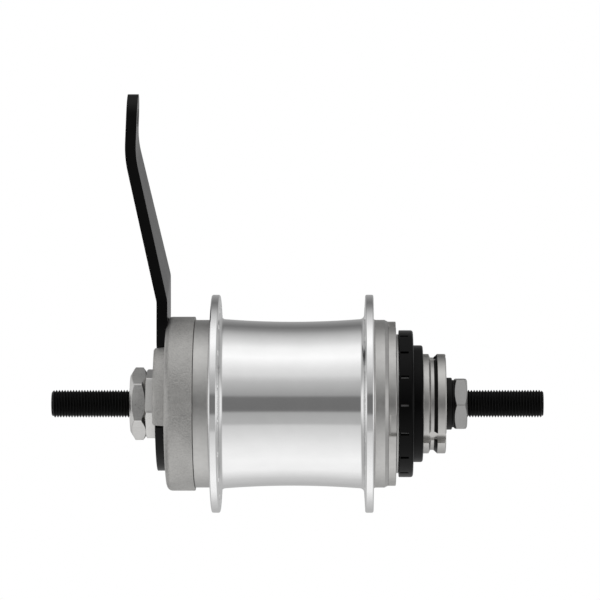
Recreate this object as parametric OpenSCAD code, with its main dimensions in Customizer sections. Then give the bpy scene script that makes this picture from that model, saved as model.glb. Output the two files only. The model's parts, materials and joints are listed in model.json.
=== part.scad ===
// Two-speed kick-shift bicycle hub gear with a back-pedal brake.
// +X runs along the axle toward the sprocket side, +Z is up along the brake arm.
// The origin is the centre of the left locknut's outer face, where the left dropout seats.

/* [Axle] */
// Length of the axle over both ends
axle_l = 170; // [166:1:190]
// Diameter of the axle thread, 3/8 inch
axle_d = 9.525; // [9.4:0.005:9.6]
// Axle standing out past the left locknut
axle_left_out = 27.35; // [24:0.05:32]
// Width over the two locknuts
over_locknuts = 116.25; // [116.25:0.25:118]
// Size across the flats of the left locknut
left_nut_af = 22; // [20:0.1:24]
// Size across the flats of the right locknut
right_nut_af = 17; // [16:0.1:19]

/* [Hub shell] */
// Left dropout seat to the middle between the flanges
flange_mid = 56.05; // [56.05:0.05:57]
// Distance between the middles of the two flanges
flange_spacing = 53; // [52.5:0.1:53.5]
// Diameter of the flanges
flange_d = 75.4; // [73:0.1:80]
// Thickness of a flange at its rim
flange_t = 2.8; // [2.4:0.1:3]
// Diameter of the spoke hole circle
spoke_pcd = 67.4; // [66:0.1:69]
// Diameter of a spoke hole
spoke_hole_d = 2.6; // [2.2:0.1:2.8]
// Number of spokes, both flanges together
spokes = 36; // [28:4:40]
// Diameter of the barrel beside the flanges
barrel_d = 58.5; // [58:0.1:60]
// Diameter of the barrel at its waist
waist_d = 56.7; // [56:0.1:58]

/* [Brake side] */
// Diameter of the cast side cover
cover_d = 60.2; // [59:0.1:62]
// Sheet thickness of the brake arm
arm_t = 3.75; // [3:0.05:3.8]
// Height of the arm's tip above the axle
arm_reach = 107.4; // [104:0.1:112]
// Width of the arm above its disc
arm_base_w = 25; // [22:0.5:27]
// Width of the arm near its tip
arm_tip_w = 16; // [16:0.5:22]
// Sideways offset from the arm's disc to its upper fold
arm_offset = 11.3; // [8:0.1:12]
// Skew of the two fold lines from square across the arm
fold_skew = 22; // [20:1:35]
// Hole for the frame clip's bolt
clip_hole_d = 6.4; // [5:0.1:7]

/* [Drive side] */
// Diameter of the driver's sprocket seat
driver_d = 34.4; // [34:0.05:35]
// Width of the notches for the sprocket's lugs
driver_notch_w = 4.2; // [3.5:0.1:5]
// Diameter of the black dust cap
dust_cap_d = 50.8; // [50:0.1:52]
// Number of slots round the dust cap
dust_cap_slots = 16; // [8:1:24]

/* [Gears] */
// Gear module
gear_module = 0.75; // [0.7:0.01:0.76]
// Teeth of the fixed sun gear
sun_teeth = 21; // [21]
// Teeth of each planet gear
planet_teeth = 17; // [17]
// Number of planet gears
planets = 4; // [4]
// Backlash along the pitch circle
backlash = 0.12; // [0.08:0.01:0.16]
// Teeth of each ratchet
ratchet_teeth = 24; // [24]
// Pawls in each set
pawls = 3; // [3]

/* [Hidden] */
$fn = 96;

// Every station below is a distance along the axle from the middle between the flanges.
slip = 0.05;
overcut = 1;
axle_r = axle_d / 2;
thread_bore_r = axle_r + slip;
axle_x0 = -flange_mid - axle_left_out;
axle_x1 = axle_x0 + axle_l;
axle_chamfer = 0.4;
relief_r = axle_r - 0.3;
relief_l = 1.5;
axle_core_r = 6;
axle_core_x = 24;
sun_seat_x = 9.4;
sun_flat = 5.2;
circlip_r0 = 5.35;
circlip_r1 = 7.4;
circlip_t = 0.8;
circlip_split = 3;

left_seat_x = -flange_mid;
left_nut_x1 = -50.5;
arm_nut_x1 = -47.4;
arm_nut_af = 21.6;
arm_nut_face_r = 11.6;
arm_washer_r = 10.6;
arm_x0 = -46.6;
arm_x1 = arm_x0 + arm_t;
right_seat_x = over_locknuts - flange_mid;
right_nut_x0 = 55.7;
left_nut_turn = 32;
arm_nut_turn = -14.5;
right_nut_turn = -3;
nut_chamfer_angle = 30;
nut_face_share = 0.97;

// Left cone: shank through the cover, race, nose, and dogs that key the shoe anchor
cone_shank_r = 11;
cone_race_r = 16.5;
cone_race_x0 = -38.5;
cone_nose_r = 14.2;
cone_x1 = -28.3;
cone_dog_r = 7;
cone_dog_l = 5;
cone_dog_w = 5;
cone_dog_h = 1.9;

// Right cone and its washer
right_cone_x0 = 46.5;
right_cone_x1 = 55;
right_cone_r = 9;
right_cone_neck_r = 7.5;
right_cone_chamfer = 0.4;
right_washer_r = 8.2;

// Side cover
cover_r = cover_d / 2;
cover_x0 = -43.4;
cover_x1 = -33.7;
cover_web = 2.6;
cover_bore_r = 11.12;
cover_cavity_r = 27.2;
cover_round = 2;
cover_recess = cover_x0 + 0.55;
lug_x0 = -47.5;
lug_r0 = 16.5;
lug_r1 = 22.9;
lug_low = -19.5;
lug_high = 58;
lug_gap = 1.2;
arm_side_gap = 0.25;
arm_disc_r = 23.2;
arm_key_af = 18;
felt_r = 25.4;
felt_x0 = -38;
edge_break = 0.3;

// Shell
shell_x0 = -33.6;
shell_x1 = 32.9;
shell_bore_r = 26.05;
ring_bore_r = 27.05;
ring_bore_x = 17.5;
skirt_r = 29;
barrel_r = barrel_d / 2;
waist_r = waist_d / 2;
flange_r = flange_d / 2;
flange_x = flange_spacing / 2;
rim_round = 0.5;
root_fillet = 1.5;
skirt_fillet = 0.8;
skirt_taper_l = 1.2;
root_thicken = 0.5;
cup_r = 18.5;
cup_x0 = -32.6;
cup_x1 = -27.2;
shield_r = 21.2;
shield_t = 0.7;
shield_x0 = -35;
shield_x1 = -32.7;

// Bearings: ball radius, pitch radius, station and number of balls
groove_gap = 0.07;
left_ball_r = 3.175;
left_pitch_r = 17.5;
left_ball_x = -33;
left_ball_n = 11;
mid_ball_r = 2.381;
mid_pitch_r = 19;
mid_ball_x = 33;
mid_ball_n = 16;
right_ball_r = 2.381;
right_pitch_r = 10;
right_ball_x = 49.5;
right_ball_n = 8;
cage_gap = 0.12;
cage_back = 1.1;
cage_reach = 0.5;
left_cage_half_w = 0.8;
small_cage_half_w = 0.6;

// Brake
drum_r = 23.6;
drum_x0 = -26.4;
drum_x1 = 0.2;
shoe_x0 = -23.5;
shoe_x1 = -3;
shoe_r = 23.1;
shoe_bore_r = 17.6;
taper_r = 20.3;
taper_slope = 0.36;
taper_l = (taper_r - shoe_bore_r) / taper_slope;
taper_gap = 0.12;
shoe_travel = 0.45;
shoe_split = 1.6;
shoe_key = 1.5;
shoe_groove_r = 20.8;
shoe_groove_x0 = -13.2;
shoe_groove_x1 = -10.6;
shoe_spring_r0 = 21.4;
shoe_spring_r1 = 22.4;
shoe_spring_t = 1;
ring_split = 4;
anchor_x0 = -28.2;
anchor_neck_r = 13;
anchor_plate_x = -26.9;
anchor_r = 20.2;
anchor_key_r = 19;
anchor_key_l = 3.6;
anchor_key_h = 6;
anchor_taper_x1 = -17.35;
anchor_nose_r = 16;
anchor_x1 = -16;
screw_r = 9;
screw_x0 = -14.8;
brake_cone_x0 = -9.2;
brake_cone_x1 = -0.6;
friction_groove_r = 18.6;
friction_groove_x0 = -2.4;
friction_groove_x1 = -1.1;
friction_spring_r = 19.9;
thrust_washer_r = 9.5;

// Gears
ring_teeth = sun_teeth + 2 * planet_teeth;
planet_orbit_r = gear_module * (sun_teeth + planet_teeth) / 2;
pressure_angle = 20;
gear_x0 = 9.5;
gear_x1 = 17.5;
flank_steps = 4;
root_depth = 1.25;
planet_pin_r = 2.5;
planet_bush_r = 3.6;
boss_r = 21;
boss_x0 = 0.4;
boss_x1 = 8.7;
plate_x0 = 18.25;
plate_x1 = 21;
plate_r = 18.5;
post_r = 2.9;
post_orbit_r = 14.5;
cage_bore_gap = 0.3;
planet_pin_x0 = 5.1;
planet_pin_l = 15.5;
bush_end = 0.3;
cage_screw_r = 1.2;
cage_screw_x0 = 12;
cage_screw_l = 8;
screw_head_r = 2.2;
screw_head_x0 = 19.55;
screw_head_l = 1.3;
screw_socket_r = 1.1;
screw_socket_x0 = 20.2;
dog_r = 11.4;
dog_w = 4;
dog_x0 = 19.2;
gear_ring_r = 24;
gear_ring_x0 = 9;
gear_ring_x1 = 27;
gear_ring_teeth_x = 18;
gear_ring_bore_r = 21.6;

// Ratchets and pawls
high_tip_r = 24.4;
high_root_r = 25.5;
low_tip_r = 22.6;
low_root_r = 23.8;
pawl_pin_r = 0.7;
pawl_barrel_r = 1.15;
high_pivot_r = 22.8;
high_nose_r = 25.2;
high_nose_gap = 1.6;
high_pawl_x0 = 19.6;
high_pawl_x1 = 25.4;
selector_gap = 0.5;
selector_bore_r = 19.4;
selector_x0 = 21.5;
selector_l = 4.8;
selector_notch_r = 1.4;
low_pivot_r = 19.6;
low_nose_r = 22.4;
low_pawl_x0 = 1.4;
low_pawl_x1 = 5.4;
low_pocket_r = 18.4;
low_ratchet_x0 = 0.8;
low_ratchet_l = 5.2;
low_pin_x0 = 0.6;
low_pin_l = 5.7;
high_pin_x0 = 18.6;
high_pin_l = 8.3;
pocket_gap = 0.15;
pocket_angle = 7;
window_gap = 0.1;
window_angle = 3;
nose_angle = 19;
nose_depth = 1.7;
pawl_root = 0.9;
pawl_spring_half = 0.5;

// Ball ring, driver and dust cap
ball_ring_r = 28.4;
ball_ring_x0 = 18.8;
ball_ring_web_x = 27.4;
ball_ring_x1 = 35.6;
ball_ring_lip_x = 36.5;
ball_ring_lip_r = 24;
ball_ring_notch_w = 7.3;
ball_ring_notch_depth = 1.8;
ball_ring_notch_n = 4;
ball_ring_bore_r = 21.5;
race_lip = 0.9;
driver_x0 = 21.1;
driver_x1 = 52.8;
driver_seat_x = 44.9;
driver_hub_r = 14;
driver_hub_x1 = 27.5;
driver_neck_r = 16.5;
driver_neck_x0 = 28.5;
driver_mouth_r = 12.5;
driver_race_r = 10.9;
driver_race_x0 = 45.5;
driver_bore_x1 = 44.5;
driver_chamfer = 0.4;
driver_notch_n = 3;
driver_notch_depth = 1.9;
seal_r = 9.2;
seal_x0 = 52;
seal_x1 = 52.7;
driver_r = driver_d / 2;
driver_shoulder_r = 18.2;
driver_bore_r = 8;
groove_floor_r = 16;
groove_x = [46.9, 47.5, 48.6, 49.9];
cap_x0 = 36.6;
cap_step_x = 41.5;
cap_r = dust_cap_d / 2;
cap_small_r = 20.2;
cap_wall = 1.2;
cap_round = 0.8;
cap_small_round = 0.7;
cap_slot_w = 0.8;
cap_slot_x0 = 37;
cap_slot_l = 2.8;

// A point at radius r and angle a.
function polar(r, a) = [r * cos(a), r * sin(a)];

// An arc of n steps about c, from angle a0 to a1.
function arc(c, r, a0, a1, n = 6) = [for (i = [0 : n]) c + polar(r, a0 + (a1 - a0) * i / n)];

function unit(v) = v / norm(v);

function reversed(list) = [for (i = [len(list) - 1 : -1 : 0]) list[i]];

// The turn about the axle that brings an angle measured up from the front, the -Y side, into place.
function turn(elevation) = -90 - elevation;

// Involute angle in degrees of a gear with base radius rb at radius r.
function involute(rb, r) = let (a = acos(min(1, rb / r))) tan(a) * 180 / PI - a;

// Half the angle that a tooth covers at radius r.
function half_tooth(teeth, r, slack) =
  let (rp = gear_module * teeth / 2, rb = rp * cos(pressure_angle))
  90 / teeth - slack / rp * 90 / PI + involute(rb, rp) - involute(rb, max(r, rb));

// Outline of a gear whose teeth run from r0 to r1, with a tooth centred on angle 0.
function gear_outline(teeth, r0, r1, slack) = [
  for (k = [0 : teeth - 1], side = [-1, 1], i = [0 : flank_steps])
    let (step = side < 0 ? i : flank_steps - i, r = r0 + (r1 - r0) * step / flank_steps)
    polar(r, k * 360 / teeth + side * half_tooth(teeth, r, slack))
];

// Outline of a ratchet's inside, with a steep face at every tooth.
function ratchet_outline(tip_r, root_r, face_angle) = [
  for (k = [0 : ratchet_teeth - 1], end = [0, 1])
    polar(end == 0 ? root_r : tip_r, face_angle + (k + end) * 360 / ratchet_teeth)
];

// Places local z along the axle, with z = 0 in the middle between the flanges.
module along_axle() {
  translate([flange_mid, 0, 0]) rotate([0, 90, 0]) children();
}

// Turns an outline of [radius, station] points about the axle.
module turned() {
  along_axle() rotate_extrude() children();
}

// A plain ring between two stations.
module ring(r0, r1, x0, x1) {
  turned() translate([r0, x0]) square([r1 - r0, x1 - x0]);
}

// Part of a ring between two elevations.
module ring_sector(r0, r1, x0, x1, low, high) {
  along_axle() rotate([0, 0, turn(high)]) rotate_extrude(angle = high - low)
    translate([r0, x0]) square([r1 - r0, x1 - x0]);
}

// A hexagonal prism with one corner at an elevation.
module hexagon(af, x0, x1, elevation) {
  along_axle() translate([0, 0, x0]) rotate([0, 0, turn(elevation)])
    cylinder(r = af / sqrt(3), h = x1 - x0, $fn = 6);
}

// A hexagonal nut with a threaded bore, chamfered down to left_r and right_r on its two faces.
module nut(af, x0, x1, elevation, left_r, right_r) {
  clear_r = af / sqrt(3) + edge_break;
  slope = tan(nut_chamfer_angle);
  difference() {
    intersection() {
      hexagon(af, x0, x1, elevation);
      turned() polygon([
        [0, x0], [left_r, x0], [clear_r, x0 + (clear_r - left_r) * slope],
        [clear_r, x1 - (clear_r - right_r) * slope], [right_r, x1], [0, x1]
      ]);
    }
    ring(0, thread_bore_r, x0 - overcut, x1 + overcut);
  }
}

// Balls in a row round the axle.
module balls(ball_r, pitch_r, x, count) {
  along_axle() for (k = [0 : count - 1]) rotate([0, 0, k * 360 / count])
    translate([pitch_r, 0, x]) sphere(ball_r);
}

// A ball retainer: a ring beside the balls with fingers between them.
module ball_cage(ball_r, pitch_r, x, count, half_w, side) {
  back = x + side * (ball_r + cage_back);
  front = x - side * cage_reach;
  difference() {
    ring(pitch_r - half_w, pitch_r + half_w, min(back, front), max(back, front));
    balls(ball_r + cage_gap, pitch_r, x, count);
  }
}

/* Axle group, fixed to the frame */

// The axle, with a thicker core for the sun gear and a relief groove under each locknut
module axle() {
  color("#2b2b2d") difference() {
    turned() polygon([
      [0, axle_x0], [axle_r - axle_chamfer, axle_x0], [axle_r, axle_x0 + axle_chamfer],
      [axle_r, left_seat_x], [relief_r, left_seat_x], [relief_r, left_seat_x + relief_l],
      [axle_r, left_seat_x + relief_l], [axle_r, -axle_core_x], [axle_core_r, -axle_core_x],
      [axle_core_r, axle_core_x], [axle_r, axle_core_x], [axle_r, right_seat_x - relief_l],
      [relief_r, right_seat_x - relief_l], [relief_r, right_seat_x], [axle_r, right_seat_x],
      [axle_r, axle_x1 - axle_chamfer], [axle_r - axle_chamfer, axle_x1], [0, axle_x1]
    ]);
    along_axle() for (side = [0, 180]) rotate([0, 0, side])
      translate([sun_flat, -axle_core_r, sun_seat_x])
        cube([axle_core_r, 2 * axle_core_r, axle_core_x - sun_seat_x + slip]);
    ring(circlip_r0 - slip, 2 * circlip_r0, gear_x1 + slip, gear_x1 + circlip_t + 3 * slip);
  }
}

// The sun gear, held from turning by two flats on the axle
module sun_gear() {
  pitch_r = gear_module * sun_teeth / 2;
  color("#9a9a9c") along_axle() translate([0, 0, gear_x0]) difference() {
    linear_extrude(gear_x1 - gear_x0) polygon(gear_outline(
      sun_teeth, pitch_r - root_depth * gear_module, pitch_r + gear_module, backlash / 2));
    intersection() {
      translate([0, 0, -overcut]) cylinder(r = axle_core_r + slip, h = gear_x1 - gear_x0 + 2 * overcut);
      cube([2 * (sun_flat + slip), 4 * axle_core_r, 4 * gear_x1], center = true);
    }
  }
}

// The circlip that holds the sun gear on
module sun_circlip() {
  color("#3c3c3e") difference() {
    ring(circlip_r0, circlip_r1, gear_x1 + 2 * slip, gear_x1 + 2 * slip + circlip_t);
    along_axle() rotate([0, 0, turn(90)]) translate([0, -circlip_split / 2, gear_x1 - overcut])
      cube([2 * circlip_r1, circlip_split, circlip_t + 2 * overcut]);
  }
}

// The large locknut on the brake side
module left_locknut() {
  face_r = nut_face_share * left_nut_af / 2;
  color("#c9c9c6") nut(left_nut_af, left_seat_x, left_nut_x1, left_nut_turn, face_r, face_r);
}

// The thin nut that clamps the brake arm onto the left cone
module arm_nut() {
  color("#bcbcb8")
    nut(arm_nut_af, left_nut_x1, arm_nut_x1, arm_nut_turn, arm_nut_face_r, arm_nut_af / sqrt(3));
}

// The washer between the thin nut and the brake arm
module arm_washer() {
  color("#4a4a4a") ring(thread_bore_r, arm_washer_r, arm_nut_x1 + slip, arm_x0 - slip);
}

// Direction of the fold frame: x across the sheet, y up the arm square to the folds.
module fold_frame() {
  translate([flange_mid, 0, 0]) rotate([90 + fold_skew, 0, 0]) children();
}

// Centre line of the arm's sheet in the fold frame
fold_low = 37.2;
fold_high = 82.2;
fold_radii = [0, 7, 30];
tip_lean = 2.2;
arm_run = 60;
arm_path = [
  [arm_x0 + arm_t / 2, -arm_run],
  [arm_x0 + arm_t / 2, fold_low],
  [arm_x0 + arm_t / 2 - arm_offset, fold_high],
  [arm_x0 + arm_t / 2 - arm_offset + arm_run * tan(tip_lean), fold_high + arm_run]
];

// The bend at corner i of the arm's path, on its left (side 1) or right (side -1) face
function bend(i, side) =
  let (
    b = arm_path[i],
    to_a = unit(arm_path[i - 1] - b),
    to_c = unit(arm_path[i + 1] - b),
    half = acos(to_a * to_c) / 2,
    fold_r = fold_radii[i],
    c = b + unit(to_a + to_c) * fold_r / sin(half),
    foot_a = b + to_a * fold_r / tan(half) - c,
    foot_c = b + to_c * fold_r / tan(half) - c,
    a0 = atan2(foot_a[1], foot_a[0]),
    a1 = atan2(foot_c[1], foot_c[0]),
    sweep = (a1 - a0 + 540) % 360 - 180,
    inner = sweep > 0 ? side : -side
  )
  arc(c, fold_r - inner * arm_t / 2, a0, a0 + sweep);

// End of the sheet beyond corner i, on one face
function sheet_end(i, next, side) =
  let (along = unit(arm_path[next] - arm_path[i]), out = next > i ? side : -side)
  arm_path[next] + [-along[1], along[0]] * out * arm_t / 2;

arm_section = concat(
  [sheet_end(1, 0, 1)], bend(1, 1), bend(2, 1), [sheet_end(2, 3, 1)],
  [sheet_end(2, 3, -1)], reversed(bend(2, -1)), reversed(bend(1, -1)), [sheet_end(1, 0, -1)]
);

// The arm seen along the axle, as a thick block to be cut to the folded sheet
tip_round = 8;
arm_block = 80;
module arm_outline() {
  half_base = arm_base_w / 2;
  half_tip = arm_tip_w / 2;
  tip_z = arm_reach - tip_round;
  rotate([90, 0, 90]) {
    linear_extrude(arm_block) circle(arm_disc_r);
    linear_extrude(arm_block) polygon([
      [-half_base, 0], [half_base, 0], [half_base, fold_low], [half_tip, tip_z],
      [half_tip - tip_round, arm_reach], [tip_round - half_tip, arm_reach], [-half_tip, tip_z],
      [-half_base, fold_low]
    ]);
    for (side = [-1, 1])
      translate([side * (half_tip - tip_round), tip_z]) linear_extrude(arm_block) circle(tip_round);
  }
}

clip_hole_z = 99.4;

// The folded steel brake arm with its disc, cut away for the cover's two lugs
module brake_arm() {
  hole_t = clip_hole_z * cos(fold_skew);
  hole_x = arm_path[2][0] + (hole_t - fold_high) * tan(tip_lean);
  color("#1c1c1e") difference() {
    intersection() {
      fold_frame() linear_extrude(4 * arm_reach, center = true) polygon(arm_section);
      translate([-arm_block / 2, 0, 0]) arm_outline();
    }
    hexagon(arm_key_af + 2 * slip, arm_x0 - overcut, arm_x1 + overcut, 0);
    for (side = [0, 1])
      ring_sector(lug_r0 - edge_break, cover_r, arm_x0 - overcut, arm_x1 + overcut,
        side == 0 ? lug_low - lug_gap : 180 - lug_high - lug_gap,
        side == 0 ? lug_high + lug_gap : 180 - lug_low + lug_gap);
    fold_frame() translate([hole_x, hole_t, -clip_hole_z * sin(fold_skew)])
      rotate([0, 0, -tip_lean]) rotate([0, 90, 0])
        cylinder(d = clip_hole_d, h = 4 * arm_t, center = true);
  }
}

// The left cone: hexagon for the arm, shank through the cover, ball track and two dogs
module left_cone() {
  color("#8f8f90") difference() {
    union() {
      hexagon(arm_key_af, arm_x0, arm_x1 + slip, 0);
      turned() difference() {
        polygon([
          [0, arm_x1 + slip], [cone_shank_r, arm_x1 + slip], [cone_shank_r, cone_race_x0],
          [cone_race_r, cone_race_x0], [cone_race_r, left_ball_x], [cone_nose_r, left_ball_x],
          [cone_nose_r, cone_x1], [0, cone_x1]
        ]);
        translate([left_pitch_r, left_ball_x]) circle(left_ball_r + groove_gap);
      }
      along_axle() for (side = [0, 180]) rotate([0, 0, side])
        translate([cone_dog_r, -cone_dog_w / 2, cone_x1 - slip])
          cube([cone_dog_l, cone_dog_w, cone_dog_h + slip]);
    }
    ring(0, thread_bore_r, arm_x0 - overcut, cone_x1 + cone_dog_h + overcut);
  }
}

// The cast cover that closes the brake side, recessed for the arm, with two lugs that hold it
module brake_side_cover() {
  color("#a8a7a1") {
    difference() {
      turned() polygon(concat(
        [[cover_bore_r, cover_recess], [arm_disc_r + arm_side_gap, cover_recess],
         [arm_disc_r + arm_side_gap, cover_x0]],
        arc([cover_r - cover_round, cover_x0 + cover_round], cover_round, -90, 0),
        [[cover_r, cover_x1 - edge_break], [cover_r - edge_break, cover_x1], [cover_cavity_r, cover_x1],
         [cover_cavity_r, cover_x0 + cover_web], [cover_bore_r, cover_x0 + cover_web]]
      ));
      translate([flange_mid + cover_x0 - overcut, -arm_base_w / 2 - arm_side_gap, lug_r0])
        cube([overcut + cover_recess - cover_x0, arm_base_w + 2 * arm_side_gap, cover_r]);
    }
    for (side = [0, 1])
      ring_sector(lug_r0, lug_r1, lug_x0, cover_recess + edge_break,
        side == 0 ? lug_low : 180 - lug_high, side == 0 ? lug_high : 180 - lug_low);
  }
}

// The felt ring inside the cover's rim
module cover_seal() {
  color("#5a5148") ring(felt_r, cover_cavity_r - slip, felt_x0, cover_x1 - edge_break);
}

// The fixed cone that the brake shoes ride up on, keyed to the left cone
module shoe_anchor() {
  color("#8a8a8c") difference() {
    union() {
      turned() polygon([
        [axle_core_r + slip, anchor_x0], [anchor_neck_r, anchor_x0], [anchor_neck_r, anchor_plate_x],
        [anchor_r, anchor_plate_x],
        [anchor_r, shoe_x0 - (anchor_r - taper_r + taper_gap) / taper_slope],
        [taper_r - taper_gap - taper_slope * (anchor_taper_x1 - shoe_x0), anchor_taper_x1],
        [anchor_nose_r, anchor_taper_x1], [anchor_nose_r, anchor_x1],
        [axle_core_r + slip, anchor_x1]
      ]);
      along_axle() for (side = [0, 180]) rotate([0, 0, side])
        translate([anchor_key_r, -shoe_key, anchor_plate_x])
          cube([anchor_key_l, 2 * shoe_key, anchor_key_h]);
    }
    along_axle() for (side = [0, 180]) rotate([0, 0, side])
      translate([cone_dog_r - 2 * slip, -cone_dog_w / 2 - slip, anchor_x0 - overcut])
        cube([cone_dog_l + 4 * slip, cone_dog_w + 2 * slip, cone_dog_h + 2 * slip + overcut]);
  }
}

// The ring spring that draws the shoes together
module shoe_spring() {
  color("#5f5f60") difference() {
    ring(shoe_spring_r0, shoe_spring_r1, shoe_groove_x0 + 4 * slip,
      shoe_groove_x0 + 4 * slip + shoe_spring_t);
    along_axle() translate([shoe_groove_r, -ring_split / 2, shoe_groove_x0 - overcut])
      cube(ring_split);
  }
}

// The washer between the anchor and the planet cage's screw
module cage_thrust_washer() {
  color("#b08d57") ring(axle_core_r + slip, thrust_washer_r, anchor_x1 + slip, screw_x0 - slip);
}

// The right cone, which holds the driver's outer balls
module right_cone() {
  color("#1f1f21") turned() difference() {
    polygon([
      [thread_bore_r, right_cone_x0], [right_cone_neck_r, right_cone_x0],
      [right_cone_neck_r, right_ball_x], [right_cone_r, right_ball_x],
      [right_cone_r, right_cone_x1 - right_cone_chamfer],
      [right_cone_r - right_cone_chamfer, right_cone_x1], [thread_bore_r, right_cone_x1]
    ]);
    translate([right_pitch_r, right_ball_x]) circle(right_ball_r + groove_gap);
  }
}

// The black washer between the right cone and its locknut
module right_lock_washer() {
  color("#232325") ring(thread_bore_r, right_washer_r, right_cone_x1 + slip, right_nut_x0 - slip);
}

// The locknut on the sprocket side
module right_locknut() {
  face_r = nut_face_share * right_nut_af / 2;
  color("#c4c4c0") nut(right_nut_af, right_nut_x0, right_seat_x, right_nut_turn, face_r, face_r);
}

/* Hub shell group */

// One half of the shell's outline from the end of its skirt to the barrel, at station sign s
function flange_outline(s) =
  let (outer = flange_x + flange_t / 2, inner = flange_x - flange_t / 2, root = inner - root_thicken)
  concat(
    [for (p = arc([skirt_r + skirt_fillet, outer + skirt_fillet], skirt_fillet, 180, 270)) [p[0], s * p[1]]],
    [for (p = arc([flange_r - rim_round, outer - rim_round], rim_round, 90, 0)) [p[0], s * p[1]]],
    [for (p = arc([flange_r - rim_round, inner + rim_round], rim_round, 0, -90)) [p[0], s * p[1]]],
    [for (p = arc([barrel_r + root_fillet, root - root_fillet], root_fillet, 90, 180)) [p[0], s * p[1]]]
  );

// The polished shell with its two spoke flanges
module hub_shell() {
  root = flange_x - flange_t / 2 - root_thicken - root_fillet;
  barrel_steps = 24;
  color("#d3d4d6") difference() {
    turned() polygon(concat(
      [[shell_bore_r, shell_x0], [skirt_r - edge_break, shell_x0], [skirt_r, shell_x0 + edge_break]],
      flange_outline(-1),
      [for (i = [1 : barrel_steps - 1]) let (u = 2 * i / barrel_steps - 1)
        [waist_r + (barrel_r - waist_r) * u * u, root * u]],
      reversed(flange_outline(1)),
      [[skirt_r, shell_x1 - skirt_taper_l], [ball_ring_r, shell_x1], [ring_bore_r, shell_x1],
       [ring_bore_r, ring_bore_x], [shell_bore_r, ring_bore_x]]
    ));
    along_axle() for (side = [-1, 1], k = [0 : spokes / 2 - 1])
      rotate([0, 0, (k + (side > 0 ? 0.5 : 0)) * 720 / spokes])
        translate([spoke_pcd / 2, 0, side * flange_x - 2 * flange_t])
          cylinder(d = spoke_hole_d, h = 4 * flange_t);
  }
}

// The pressed-in ball cup of the brake side
module left_bearing_cup() {
  color("#7d7d80") turned() difference() {
    translate([cup_r, cup_x0]) square([shell_bore_r - slip - cup_r, cup_x1 - cup_x0]);
    translate([left_pitch_r, left_ball_x]) circle(left_ball_r + groove_gap);
  }
}

// The thin shield outside the left balls
module left_dust_shield() {
  color("#6a6a6c") turned() polygon([
    [shield_r, shield_x0], [shield_r + shield_t, shield_x0],
    [shield_r + shield_t, shield_x1 - shield_t], [shell_bore_r - slip, shield_x1 - shield_t],
    [shell_bore_r - slip, shield_x1], [shield_r, shield_x1]
  ]);
}

// The steel liner that the brake shoes press on
module brake_drum_liner() {
  color("#77777a") ring(drum_r, shell_bore_r - slip, drum_x0, drum_x1);
}

// The ratchet that the low gear pawls drive
module low_ratchet_ring() {
  color("#87878a") along_axle() translate([0, 0, low_ratchet_x0]) linear_extrude(low_ratchet_l)
    difference() {
      circle(shell_bore_r - slip);
      polygon(ratchet_outline(low_tip_r, low_root_r, 0));
    }
}

// The screwed ring of the drive side: ratchet inside, ball track, four tool notches outside
module right_ball_ring() {
  notch_turn = -15.3;
  color("#b9b9b8") difference() {
    union() {
      turned() difference() {
        polygon([
          [mid_pitch_r + race_lip, ball_ring_web_x], [ring_bore_r - slip, ball_ring_web_x],
          [ring_bore_r - slip, shell_x1 + slip], [ball_ring_r, shell_x1 + slip],
          [ball_ring_r, ball_ring_x1 - edge_break], [ball_ring_r - edge_break, ball_ring_x1],
          [ball_ring_lip_r, ball_ring_x1], [ball_ring_lip_r, ball_ring_lip_x],
          [ball_ring_bore_r, ball_ring_lip_x], [ball_ring_bore_r, mid_ball_x],
          [mid_pitch_r + race_lip, mid_ball_x]
        ]);
        translate([mid_pitch_r, mid_ball_x]) circle(mid_ball_r + groove_gap);
      }
      along_axle() translate([0, 0, ball_ring_x0])
        linear_extrude(ball_ring_web_x - ball_ring_x0) difference() {
          circle(ring_bore_r - slip);
          polygon(ratchet_outline(high_tip_r, high_root_r, -nose_angle - high_nose_gap));
        }
    }
    along_axle() for (k = [0 : ball_ring_notch_n - 1])
      rotate([0, 0, turn(notch_turn + k * 360 / ball_ring_notch_n)])
        translate([ball_ring_r - ball_ring_notch_depth, -ball_ring_notch_w / 2, shell_x1 + 2 * slip])
          cube([2 * ball_ring_notch_depth, ball_ring_notch_w, ball_ring_x1]);
  }
}

/* Driver and planet cage group */

// The driver: dogs into the cage, two ball tracks, sprocket seat with a groove and three notches
module driver() {
  notch_turn = -44.35;
  color("#bdbdbd") difference() {
    union() {
      turned() difference() {
        polygon([
          [driver_bore_r, driver_x0], [driver_hub_r, driver_x0], [driver_hub_r, driver_hub_x1],
          [driver_neck_r, driver_neck_x0], [driver_neck_r, mid_ball_x],
          [driver_shoulder_r, mid_ball_x], [driver_shoulder_r, driver_seat_x],
          [driver_r, driver_seat_x], [driver_r, groove_x[0]], [groove_floor_r, groove_x[1]],
          [groove_floor_r, groove_x[2]], [driver_r, groove_x[3]],
          [driver_r, driver_x1 - driver_chamfer], [driver_r - driver_chamfer, driver_x1],
          [driver_mouth_r, driver_x1], [driver_mouth_r, right_ball_x],
          [driver_race_r, right_ball_x], [driver_race_r, driver_race_x0],
          [driver_bore_r, driver_bore_x1]
        ]);
        translate([mid_pitch_r, mid_ball_x]) circle(mid_ball_r + groove_gap);
        translate([right_pitch_r, right_ball_x]) circle(right_ball_r + groove_gap);
      }
      intersection() {
        ring(driver_bore_r, dog_r, dog_x0, driver_x0 + edge_break);
        dog_cross(dog_w);
      }
    }
    along_axle() for (k = [0 : driver_notch_n - 1])
      rotate([0, 0, turn(notch_turn + k * 360 / driver_notch_n)])
        translate([driver_r - driver_notch_depth, -driver_notch_w / 2, driver_seat_x])
          cube([2 * driver_notch_depth, driver_notch_w, driver_x1]);
  }
}

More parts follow.
